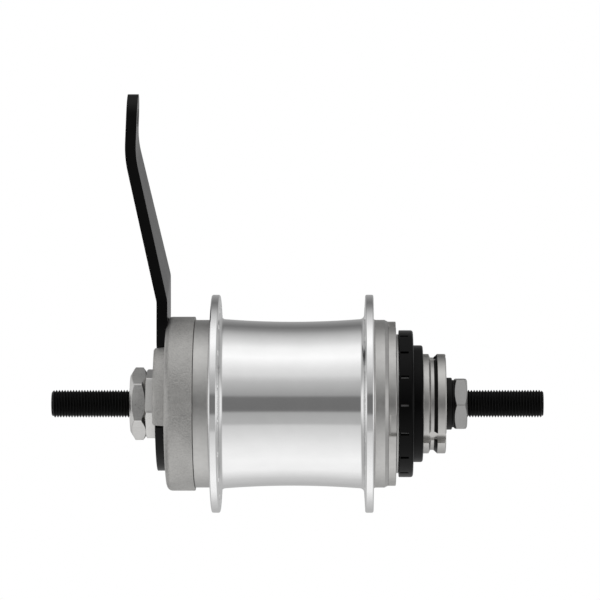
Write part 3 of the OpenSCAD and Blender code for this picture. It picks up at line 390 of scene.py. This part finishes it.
THREAD_R = 4.7625
THREAD_PITCH = 25.4 / 26
THREAD_DEPTH = 0.6134 * THREAD_PITCH
BORE_R = THREAD_R + 0.05


def hexagon(e, across_flats, corner, power=70):
    """Radius of a hexagon with slightly worn corners, at elevations e."""
    total = sum(np.maximum(np.cos(np.radians(e - corner - 30 - 60 * k)), 0) ** power for k in range(6))
    return across_flats / 2 / total ** (1 / power)


def nut(name, node, metal, corner, across_flats, left_chamfer, right_chamfer):
    """A hexagonal nut. Each chamfer is its radius at the face and its length along the axle."""
    low, high = (c.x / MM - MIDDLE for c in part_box(node))
    full = across_flats / math.sqrt(3) + 0.1
    steps = np.linspace(0, 1, 25)
    left = [(low + left_chamfer[1] * t, left_chamfer[0] + (full - left_chamfer[0]) * t) for t in steps]
    right = [(high - right_chamfer[1] * t, right_chamfer[0] + (full - right_chamfer[0]) * t) for t in steps]
    rows = [(low, BORE_R + 0.3), (low, left_chamfer[0] - 0.1)] + left + right[::-1]
    rows += [(high, right_chamfer[0] - 0.1), (high, BORE_R + 0.3), (high - 0.3, BORE_R), (low + 0.3, BORE_R)]

    def shape(x, r, e):
        outer = r > BORE_R + 1
        return x, np.where(outer, lower(r, hexagon(e, across_flats, corner), 0.05), r)

    piece = turned(name, rows, around(240, [corner + 60 * k for k in range(6)], 1.0), shape, sharp=50)
    return place(piece, "axle_group", node, "plated_steel", metal)


def thread(x, e):
    """Radius of the axle's right-hand thread, with flats at crest and root."""
    crest, flank = 0.13, 0.72  # their shares of half a pitch; the root takes the rest
    phase = (x / THREAD_PITCH + e / 360) % 1
    ramp = np.abs(phase - 0.5) * 2
    return THREAD_R - THREAD_DEPTH * np.clip((ramp - crest) / flank, 0, 1)


def axle(oxide):
    """The axle: threaded ends, a thicker core with a circlip groove, and flats for the sun gear."""
    left, right = (c.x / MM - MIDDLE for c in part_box("axle"))
    seat_left, seat_right = -MIDDLE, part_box("right_locknut")[1].x / MM - MIDDLE
    core_r, core_x = 6.0, 24.0
    flats_from, flats_half = 9.4, 5.2
    groove_from, groove_to, groove_r = 17.55, 18.45, 5.3
    end_r = THREAD_R - 0.75
    fine = THREAD_PITCH / 12
    first = [(left, 0), (left, end_r - 0.3)]
    first += [(x, THREAD_R) for x in np.arange(left + 0.01, seat_left, fine)]
    middle = [(seat_left + 0.1, THREAD_R), (-core_x, THREAD_R), (-core_x, core_r), (flats_from, core_r),
              (flats_from + 0.01, core_r), (groove_from, core_r), (groove_from, groove_r),
              (groove_to, groove_r), (groove_to, core_r),
              (core_x - 0.01, core_r), (core_x, core_r), (core_x, THREAD_R), (seat_right - 0.1, THREAD_R)]
    last = [(x, THREAD_R) for x in np.arange(seat_right, right - 0.01, fine)]
    last += [(right - 0.01, THREAD_R), (right, end_r - 0.3), (right, 0)]

    def shape(x, r, e):
        stub = ((x < seat_left) | (x >= seat_right)) & (r > end_r - 0.1)
        near_end = np.minimum(x - left, right - x)
        cut_thread = lower(thread(x, e), end_r + near_end * 0.9, 0.06)
        flat = flats_half / np.maximum(np.abs(np.sin(np.radians(e))), 0.01)
        flatted = (x > flats_from + 0.005) & (x < core_x - 0.005) & (r > 5.5)
        r = np.where(stub, cut_thread, r)
        return x, np.where(flatted, np.minimum(r, flat), r)

    piece = turned("axle_threaded", first + middle + last, around(72), shape, sharp=60)
    return place(piece, "axle_group", "axle", "black_oxide_steel", oxide)


def plain_ring(name, node, body, slot, material, fillet):
    """A washer or seal: a ring with rounded edges, sized from the CAD node."""
    low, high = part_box(node)
    x0, x1, outer = low.x / MM - MIDDLE, high.x / MM - MIDDLE, high.z / MM
    bore = inner_radius(node)
    corners = [(x0, bore, fillet), (x0, outer, fillet), (x1, outer, fillet), (x1, bore, fillet)]
    return place(turned(name, outline(corners)), body, node, slot, material)


def inner_radius(node):
    """The smallest distance of a CAD node's points from the axle's axis."""
    return min(math.hypot(v.co.y, v.co.z) for v in frame["nodes"][node].data.vertices) / MM


# ---------------------------------------------------------------- drive side

BALL_TRACK = 2.451  # radius of each ball track, a little over the balls' own
INNER_TRACK = (33, 19)  # centre (x, r) of the tracks on the ball ring and the driver
OUTER_TRACK = (49.5, 10)  # centre of the tracks on the driver and the right cone
BALL_RING_R = 28.4
NOTCH_E = [-15.3 + 90 * k for k in range(4)]  # elevations of the tool notches
NOTCH_HALF = 7.42  # half sweep of a notch, in degrees
NOTCH_FLOOR = 26.6
NOTCH_FILLET = 0.8
RATCHET_TEETH = 24
RATCHET_R, TOOTH_DEPTH = 24.4, 1.1


def ball_ring(steel):
    """The ring screwed into the shell, with tool notches outside, a ball track and ratchet teeth."""
    pitch = 360 / RATCHET_TEETH
    first_face = -90 + 19 + 1.6  # elevation of one steep tooth face
    faces = [first_face + pitch * k for k in range(RATCHET_TEETH)]
    profile = (
        outline([(18.8, RATCHET_R), (18.8, 27.0, 0.3), (32.92, 27.0), (32.95, BALL_RING_R, 0.1)],
                closed=False)
        + [(x, BALL_RING_R) for x in (33.05, 33.12, 33.2, 33.32, 33.5, 33.7, 33.9)]
        + outline([(35, BALL_RING_R), (35.6, BALL_RING_R, 0.3), (35.6, 24, 0.3), (36.5, 24, 0.2),
                   (36.5, 21.5, 0.2), (33, 21.5)], closed=False)
        + arc(*INNER_TRACK, BALL_TRACK, 90, 158.4)
        + [(27.4, 19.9), (27.4, RATCHET_R)]
    )

    def shape(x, r, e):
        inner = (r > 24.3) & (r < 24.5) & (x < 27.5)
        saw = (apart(e, first_face) % pitch) / pitch
        r = np.where(inner, RATCHET_R + TOOTH_DEPTH * saw, r)
        mask = np.max([inside(NOTCH_HALF - np.abs(apart(e, c)), 0.35) for c in NOTCH_E], axis=0)
        notched = (x > 33.1) & (x < 35.65) & (r > NOTCH_FLOOR)
        rise = np.clip(1 - (x - 33.1) / NOTCH_FILLET, 0, 1)
        floor_r = NOTCH_FLOOR + NOTCH_FILLET * (1 - np.sqrt(1 - rise**2))
        return x, np.where(notched, r + (floor_r - r) * mask, r)

    edges = [c + s * NOTCH_HALF for c in NOTCH_E for s in (-1, 1)]
    piece = turned("ball_ring", profile, around(240, edges + faces, 0.3), shape)
    return place(piece, "shell", "right_ball_ring", "machined_steel", steel)


LUG_NOTCH_E = [-44.35 + 120 * k for k in range(3)]  # elevations of the sprocket's lug notches
LUG_NOTCH_HALF = 7.2
LUG_NOTCH_FLOOR = 15.3
SEAT = 44.9  # station where the sprocket seat begins
SEAT_R = 17.2
GROOVE = (46.9, 47.5, 48.6, 49.9)  # stations of the circlip groove's corners
GROOVE_R = 16.0
DRIVER_END = 52.8
DOG_E = (45, 135, 225, 315)  # elevations of the four driving dogs
DOG_HALF, DOG_HEIGHT = 10, 1.9


def driver(steel, oxide):
    """The sprocket carrier: dogs inside the shell, then a ball track, the seat and its groove. The groove's
    right wall takes the black oxide as painted shade.
    """
    profile = (
        [(21.1, 8.0), (21.1, 8.1), (21.1, 11.3), (21.1, 11.45), (21.1, 13.8)]
        + outline([(21.3, 14), (27.5, 14, 0.5), (28.5, 16.5, 0.4), (33, 16.5)], closed=False)
        + arc(*INNER_TRACK, BALL_TRACK, -90, -19.05)
        + outline([(36, 18.2), (SEAT, 18.2, 0.2), (SEAT, SEAT_R, 0.2), (GROOVE[0], SEAT_R, 0.2),
                   (GROOVE[1], GROOVE_R, 0.12), (GROOVE[2], GROOVE_R, 0.1), (GROOVE[3], SEAT_R, 0.15),
                   (DRIVER_END, SEAT_R, 0.45), (DRIVER_END, 12.5, 0.2), (49.5, 12.5)], closed=False)
        + arc(*OUTER_TRACK, BALL_TRACK, 90, 158.4)
        + [(45.5, 10.9), (44.5, 8.0)]
    )

    def shape(x, r, e):
        dog = np.max([inside(DOG_HALF - np.abs(apart(e, c)), 0.4) for c in DOG_E], axis=0)
        x = np.where((x < 21.15) & (r < 11.4), x - DOG_HEIGHT * dog, x)
        mask = np.max([inside(LUG_NOTCH_HALF - np.abs(apart(e, c)), 0.45) for c in LUG_NOTCH_E], axis=0)
        notched = (x > SEAT - 0.01) & (r > LUG_NOTCH_FLOOR)
        return x, np.where(notched & (r < 17.9), r + (LUG_NOTCH_FLOOR - r) * mask, r)

    # The black oxide on the groove's right wall is painted shade, for the shade deep in the narrow groove.
    def zone(x, r):
        on_shaded_groove_wall = GROOVE[2] + 0.05 < x < GROOVE[3] - 0.1
        return 1 if on_shaded_groove_wall and LUG_NOTCH_FLOOR + 0.3 < r < SEAT_R - 0.05 else 0

    edges = [c + s * LUG_NOTCH_HALF for c in LUG_NOTCH_E for s in (-1, 1)]
    edges += [c + s * DOG_HALF for c in DOG_E for s in (-1, 1)]
    piece = turned("driver_body", profile, around(240, edges, 0.4), shape, zone)
    return place(piece, "driver_cage", "driver", "machined_steel", steel, oxide)


CAP_SLOTS = 16
CAP_R = 25.4
CAP_STEP = 41.5  # station where the cap steps down
SLOT_DEPTH = 1.05
SLOT_HALF_WIDTH = 0.4


def dust_cap(plastic, steel):
    """The black stepped cap, with slots round its rim whose floors take a steel colour as a painted
    highlight, for the light that the slots catch.
    """
    slot_e = [-1.6 + 360 / CAP_SLOTS * k for k in range(CAP_SLOTS)]
    half = math.degrees(SLOT_HALF_WIDTH / CAP_R)
    profile = (
        outline([(36.6, 24.2), (36.6, CAP_R, 0.2), (36.9, CAP_R)], closed=False)
        + [(37.0, CAP_R), (37.12, CAP_R), (39.7, CAP_R), (39.82, CAP_R)]
        + outline([(40.0, CAP_R), (CAP_STEP, CAP_R, 0.8), (CAP_STEP, 20.2, 0.25), (SEAT, 20.2, 0.7),
                   (SEAT, 18.25), (CAP_STEP - 1.2, 18.25), (CAP_STEP - 1.2, 24.2)], closed=False)
    )

    def shape(x, r, e):
        mask = np.max([inside(half - np.abs(apart(e, c)), 0.25) for c in slot_e], axis=0)
        slotted = (x > 37.05) & (x < 39.75) & (r > 25)
        return x, np.where(slotted, r - SLOT_DEPTH * mask, r)

    # The steel colour of the slot floors is a painted highlight, for the light that the slots' walls catch.
    def zone(x, r):
        return 1 if 37.1 < x < 39.75 and abs(r - (CAP_R - SLOT_DEPTH)) < 0.05 else 0

    edges = [c + s * half for c in slot_e for s in (-1, 1)]
    piece = turned("dust_cap", profile, around(224, edges, 0.25), shape, zone)
    return place(piece, "driver_cage", "driver_dust_cap", "black_cap", plastic, steel)


def right_cone(oxide):
    """The black cone at the drive side, with its ball track and the face that the washer meets."""
    profile = (
        outline([(46.5, BORE_R), (46.5, 7.5, 0.3), (49.5, 7.52)], closed=False)
        + arc(*OUTER_TRACK, BALL_TRACK, -89, -24.1)
        + outline([(52.5, 9.0), (55.0, 9.0, 0.35), (55.0, BORE_R)], closed=False)
    )
    return place(turned("right_cone_body", profile), "axle_group", "right_cone", "black_oxide_steel", oxide)


# ---------------------------------------------------------------- materials


def add(tree, kind, inputs=(), **settings):
    """A shader node with its settings and inputs; an input may be a value or another socket."""
    made = tree.nodes.new(kind)
    for name, value in settings.items():
        setattr(made, name, value)
    for name, value in dict(inputs).items():
        if isinstance(value, bpy.types.NodeSocket):
            tree.links.new(value, made.inputs[name])
        else:
            made.inputs[name].default_value = value
    return made


def math_node(tree, operation, a, b=0.0, clamp=False):
    """The output of one arithmetic node."""
    return add(tree, "ShaderNodeMath", {0: a, 1: b}, operation=operation, use_clamp=clamp).outputs[0]


def noise(tree, vector, scale, detail=3.0, roughness=0.5):
    """Noise around 0, from about -0.5 to 0.5, at a scale in cells per metre."""
    made = add(tree, "ShaderNodeTexNoise",
               {"Vector": vector, "Scale": scale, "Detail": detail, "Roughness": roughness})
    return math_node(tree, "SUBTRACT", made.outputs["Fac"], 0.5)


def turning_lines(tree, coordinates, scale):
    """Fine lines round the axle, as a lathe leaves them on cylinders and on flat faces."""
    parts = add(tree, "ShaderNodeSeparateXYZ", {"Vector": coordinates}).outputs
    across = add(tree, "ShaderNodeCombineXYZ", {"Y": parts["Y"], "Z": parts["Z"]}).outputs[0]
    radius = add(tree, "ShaderNodeVectorMath", {0: across}, operation="LENGTH").outputs["Value"]
    along = math_node(tree, "ADD", parts["X"], radius)
    made = add(tree, "ShaderNodeTexNoise", {"W": along, "Scale": scale, "Detail": 4.0, "Roughness": 0.65},
               noise_dimensions="1D")
    return math_node(tree, "SUBTRACT", made.outputs["Fac"], 0.5)


def blend_colours(tree, factor, dark, light):
    """A colour between dark and light, by a factor from 0 to 1."""
    mix = add(tree, "ShaderNodeMix", data_type="RGBA")
    tree.links.new(factor, mix.inputs["Factor"])
    mix.inputs["A"].default_value = (*dark, 1)
    mix.inputs["B"].default_value = (*light, 1)
    return mix.outputs["Result"]


def surface(name, dark, light, roughness, metallic, grain, grain_height,
            variation=0.06, lines=0.0, line_height=0.0, line_scale=2600, shine=0.5):
    """A procedural finish.

    dark and light are the two colours it varies between, grain is the size of its texture in
    millimetres, and the heights of grain and turning lines are in micrometres. shine is the
    reflection of a surface that isn't bare metal, where 0.5 is that of plain plastic.
    """
    material = bpy.data.materials.new(name)
    material.use_nodes = True
    tree = material.node_tree
    shader = tree.nodes["Principled BSDF"]
    coordinates = add(tree, "ShaderNodeTexCoord").outputs["Object"]
    fine = noise(tree, coordinates, 1 / (grain * MM), 4.0)
    broad = noise(tree, coordinates, 1 / (grain * 14 * MM), 2.0)
    height = math_node(tree, "MULTIPLY", fine, grain_height * 1e-6)
    rough = math_node(tree, "ADD", math_node(tree, "MULTIPLY", fine, variation),
                      math_node(tree, "MULTIPLY", broad, variation))
    if lines or line_height:
        marks = turning_lines(tree, coordinates, line_scale)
        height = math_node(tree, "ADD", height, math_node(tree, "MULTIPLY", marks, line_height * 1e-6))
        rough = math_node(tree, "ADD", rough, math_node(tree, "MULTIPLY", marks, lines))
    tone = math_node(tree, "ADD", math_node(tree, "ADD", fine, broad), 0.5, clamp=True)
    tree.links.new(blend_colours(tree, tone, dark, light), shader.inputs["Base Color"])
    tree.links.new(math_node(tree, "ADD", rough, roughness, clamp=True), shader.inputs["Roughness"])
    bump = add(tree, "ShaderNodeBump", {"Height": height, "Strength": 1.0, "Distance": 1.0})
    tree.links.new(bump.outputs["Normal"], shader.inputs["Normal"])
    shader.inputs["Metallic"].default_value = metallic
    shader.inputs["Specular IOR Level"].default_value = shine
    return material


def grey(value, warm=0.0):
    """A grey, slightly warm when warm is above 0."""
    return (value, value * (1 - warm * 0.3), value * (1 - warm))


POLISHED = surface("polished_aluminium", grey(0.90), grey(0.97), 0.10, 1.0, 0.5, 0.15,
                   variation=0.02, lines=0.05, line_height=0.25, line_scale=1500)
SATIN = surface("satin_turned_aluminium", grey(0.53, 0.03), grey(0.65, 0.03), 0.36, 1.0, 0.12, 1.2,
                lines=0.18, line_height=2.0, line_scale=3500)
CAST = surface("cast_aluminium", grey(0.36, 0.04), grey(0.68, 0.04), 0.46, 1.0, 0.6, 200.0, variation=0.3)
PLATED = surface("plated_steel", grey(0.58, 0.03), grey(0.82, 0.03), 0.36, 1.0, 0.5, 14.0, variation=0.3)
COARSE = surface("coarse_plated_steel", grey(0.33, 0.02), grey(0.50, 0.02), 0.44, 1.0, 0.5, 30.0,
                 variation=0.25)
OXIDE = surface("black_oxide_steel", grey(0.0015), grey(0.005, 0.1), 0.34, 0.0, 0.2, 4.0,
                variation=0.2, shine=0.18)
PAINT = surface("black_paint", grey(0.0008), grey(0.002), 0.24, 0.0, 0.5, 3.0, variation=0.08, shine=0.16)
CAP = surface("black_cap", grey(0.0008), grey(0.002), 0.30, 0.0, 0.15, 3.0, variation=0.12, shine=0.11)
MACHINED = surface("machined_steel", grey(0.50, 0.04), grey(0.64, 0.04), 0.33, 1.0, 0.15, 1.2,
                   lines=0.16, line_height=1.6, line_scale=3000)
WASHER = surface("washer_steel", grey(0.16), grey(0.24), 0.4, 1.0, 0.3, 2.0, variation=0.15)
RUBBER = surface("seal_rubber", grey(0.012), grey(0.02), 0.6, 0.0, 0.2, 5.0, variation=0.1)
INSIDE = {
    "hardened_steel": surface("hardened_steel", grey(0.38), grey(0.5), 0.3, 1.0, 0.2, 1.0,
                              lines=0.12, line_height=1.2, line_scale=2500),
    "ball_steel": surface("ball_steel", grey(0.8), grey(0.86), 0.07, 1.0, 0.2, 0.1, variation=0.03),
    "spring_steel": surface("spring_steel", grey(0.3), grey(0.4), 0.28, 1.0, 0.1, 1.0, variation=0.1),
    "bearing_bronze": surface("bearing_bronze", (0.44, 0.26, 0.11), (0.56, 0.35, 0.16), 0.33, 1.0,
                              0.25, 1.5),
    "brake_bronze": surface("brake_bronze", (0.38, 0.29, 0.15), (0.5, 0.4, 0.23), 0.42, 1.0, 0.3, 3.0),
    "felt": surface("felt", (0.06, 0.05, 0.04), (0.16, 0.13, 0.1), 0.95, 0.0, 0.12, 60.0, variation=0.05),
    "washer_steel": WASHER,
    "seal_rubber": RUBBER,
    "machined_steel": MACHINED,
    "black_oxide_steel": OXIDE,
    "plated_steel": PLATED,
    "black_paint": PAINT,
    "black_cap": CAP,
    "cast_aluminium": CAST,
    "polished_aluminium": POLISHED,
}

# ---------------------------------------------------------------- the object

hub_shell(POLISHED, SATIN)
side_cover(CAST)
brake_arm(PAINT)
nut("left_locknut_body", "left_locknut", PLATED, 32, 22.0, (9.8, 1.8), (10.9, 1.4))
nut("arm_nut_body", "arm_nut", PLATED, -14.5, 21.6, (11.7, 0.45), (12.2, 0.15))
nut("right_locknut_body", "right_locknut", COARSE, -3, 17.0, (8.3, 0.85), (8.0, 1.0))
axle(OXIDE)
plain_ring("arm_washer_body", "arm_washer", "axle_group", "washer_steel", WASHER, 0.15)
plain_ring("right_washer_body", "right_lock_washer", "axle_group", "black_oxide_steel", OXIDE, 0.12)
plain_ring("driver_seal_body", "driver_seal", "driver_cage", "seal_rubber", RUBBER, 0.2)
ball_ring(MACHINED)
driver(MACHINED, OXIDE)
dust_cap(CAP, WASHER)
right_cone(OXIDE)

for part in frame["record"]["subparts"]:
    node = frame["nodes"][part["node"]]
    for slot in node.material_slots:
        slot.material = INSIDE[part["material_slot"]]

# ---------------------------------------------------------------- studio

# Brightness of the studio's white tent against elevation, as seen from the object.
TENT = [
    (-180, 0.46), (-150, 0.47), (-128, 0.60), (-105, 0.92), (-85, 0.96), (-60, 0.84), (-30, 0.62),
    (-28, 0.45), (-12.5, 0.40), (-10, 0.16), (9, 0.165), (11, 0.33), (30, 0.50), (37, 0.64),
    (39, 0.70), (50, 0.80), (67, 1.05), (84, 0.94), (95, 0.72), (110, 0.50), (124, 0.25),
    (134, 0.17), (146, 0.24), (166, 0.37), (180, 0.46),
]

END_LIGHT = (0.85, 0.4)  # brightness of the tent's two ends, level with the axle and far from level
END_FROM, END_TO = 0.25, 0.65  # how far a direction leans along the axle as the ends take over
LEVEL_FROM, LEVEL_TO = 0.1, 0.5  # how far it leans up or down as the ends grow darker


def studio_world():
    """A plain white backdrop for the camera, and a softly shaded tent for light and reflections."""
    world = bpy.data.worlds.new("studio")
    world.use_nodes = True
    bpy.context.scene.world = world
    tree = world.node_tree
    direction = add(tree, "ShaderNodeTexCoord").outputs["Generated"]
    parts = add(tree, "ShaderNodeSeparateXYZ", {"Vector": direction}).outputs
    front = math_node(tree, "MULTIPLY", parts["Y"], -1.0)
    elevation = math_node(tree, "ARCTAN2", parts["Z"], front)
    turn = math_node(tree, "ADD", math_node(tree, "DIVIDE", elevation, 2 * math.pi), 0.5)
    ramp = add(tree, "ShaderNodeValToRGB", {"Fac": turn})
    stops = ramp.color_ramp.elements
    for _ in range(len(TENT) - 2):
        stops.new(0.5)
    for stop, (degrees, brightness) in zip(stops, TENT):
        stop.position = (degrees + 180) / 360
        stop.color = (brightness, brightness, brightness, 1)
    sideways = math_node(tree, "ABSOLUTE", parts["X"])
    side = add(tree, "ShaderNodeMapRange", {"Value": sideways, "From Min": END_FROM, "From Max": END_TO},
               interpolation_type="SMOOTHSTEP").outputs["Result"]
    upright = math_node(tree, "ABSOLUTE", parts["Z"])
    end_light = add(tree, "ShaderNodeMapRange",
                    {"Value": upright, "From Min": LEVEL_FROM, "From Max": LEVEL_TO,
                     "To Min": END_LIGHT[0], "To Max": END_LIGHT[1]},
                    interpolation_type="SMOOTHSTEP").outputs["Result"]
    around_axle = math_node(tree, "MULTIPLY", ramp.outputs["Color"], math_node(tree, "SUBTRACT", 1.0, side))
    strength = math_node(tree, "ADD", around_axle, math_node(tree, "MULTIPLY", end_light, side))
    tent = add(tree, "ShaderNodeBackground", {"Color": (1, 1, 1, 1), "Strength": strength})
    backdrop = add(tree, "ShaderNodeBackground", {"Color": (1, 1, 1, 1), "Strength": 1.0})
    seen = add(tree, "ShaderNodeLightPath").outputs["Is Camera Ray"]
    mix = add(tree, "ShaderNodeMixShader", {0: seen, 1: tent.outputs[0], 2: backdrop.outputs[0]})
    tree.links.new(mix.outputs[0], tree.nodes["World Output"].inputs["Surface"])


def floor():
    """A pale floor well below the hub, which fades into the white backdrop and shows only from above."""
    depth, radius = 0.16, 1.6
    mesh = bpy.data.meshes.new("floor")
    sides = 64
    corners = [(math.cos(a), math.sin(a)) for a in np.linspace(0, 2 * math.pi, sides + 1)[:-1]]
    centre = (cad_box[0] + cad_box[1]) / 2
    mesh.from_pydata([(centre.x + radius * c, centre.y + radius * s, -depth) for c, s in corners],
                     [], [tuple(range(sides))])
    piece = bpy.data.objects.new("floor", mesh)
    bpy.context.scene.collection.objects.link(piece)
    material = bpy.data.materials.new("floor_white")
    material.use_nodes = True
    tree = material.node_tree
    shader = tree.nodes["Principled BSDF"]
    shader.inputs["Base Color"].default_value = (0.92, 0.92, 0.92, 1)
    shader.inputs["Roughness"].default_value = 0.9
    shader.inputs["Emission Color"].default_value = (1, 1, 1, 1)
    shader.inputs["Emission Strength"].default_value = 0.38
    place_from = add(tree, "ShaderNodeNewGeometry").outputs
    offset = add(tree, "ShaderNodeVectorMath", {0: place_from["Position"], 1: (centre.x, centre.y, -depth)},
                 operation="DISTANCE").outputs["Value"]
    fade = add(tree, "ShaderNodeMapRange", {"Value": offset, "From Min": 0.35, "From Max": radius * 0.95},
               interpolation_type="SMOOTHERSTEP").outputs["Result"]
    hidden = math_node(tree, "MAXIMUM", fade, place_from["Backfacing"])
    clear = add(tree, "ShaderNodeBsdfTransparent").outputs[0]
    mix = add(tree, "ShaderNodeMixShader", {0: hidden, 1: shader.outputs[0], 2: clear})
    tree.links.new(mix.outputs[0], tree.nodes["Material Output"].inputs["Surface"])
    piece.data.materials.append(material)
    piece.visible_glossy = False
    piece.visible_diffuse = False
    piece.visible_shadow = False


def camera():
    """A long lens from the front, level with the axle and a little toward the sprocket side."""
    eye = Vector((0.0747, -1.212, 0.0))
    aim = (cad_box[0] + cad_box[1]) / 2 + Vector((0.9, 0, 1.05)) * MM
    aim.y = 0
    data = bpy.data.cameras.new("camera")
    data.lens, data.sensor_width = 210, 36
    data.clip_start, data.clip_end = 0.05, 20
    holder = bpy.data.objects.new("camera", data)
    holder.location = eye
    holder.rotation_euler = (aim - eye).to_track_quat("-Z", "Y").to_euler()
    bpy.context.scene.collection.objects.link(holder)
    bpy.context.scene.camera = holder


studio_world()
floor()
camera()
bpy.context.scene.view_settings.view_transform = "Standard"
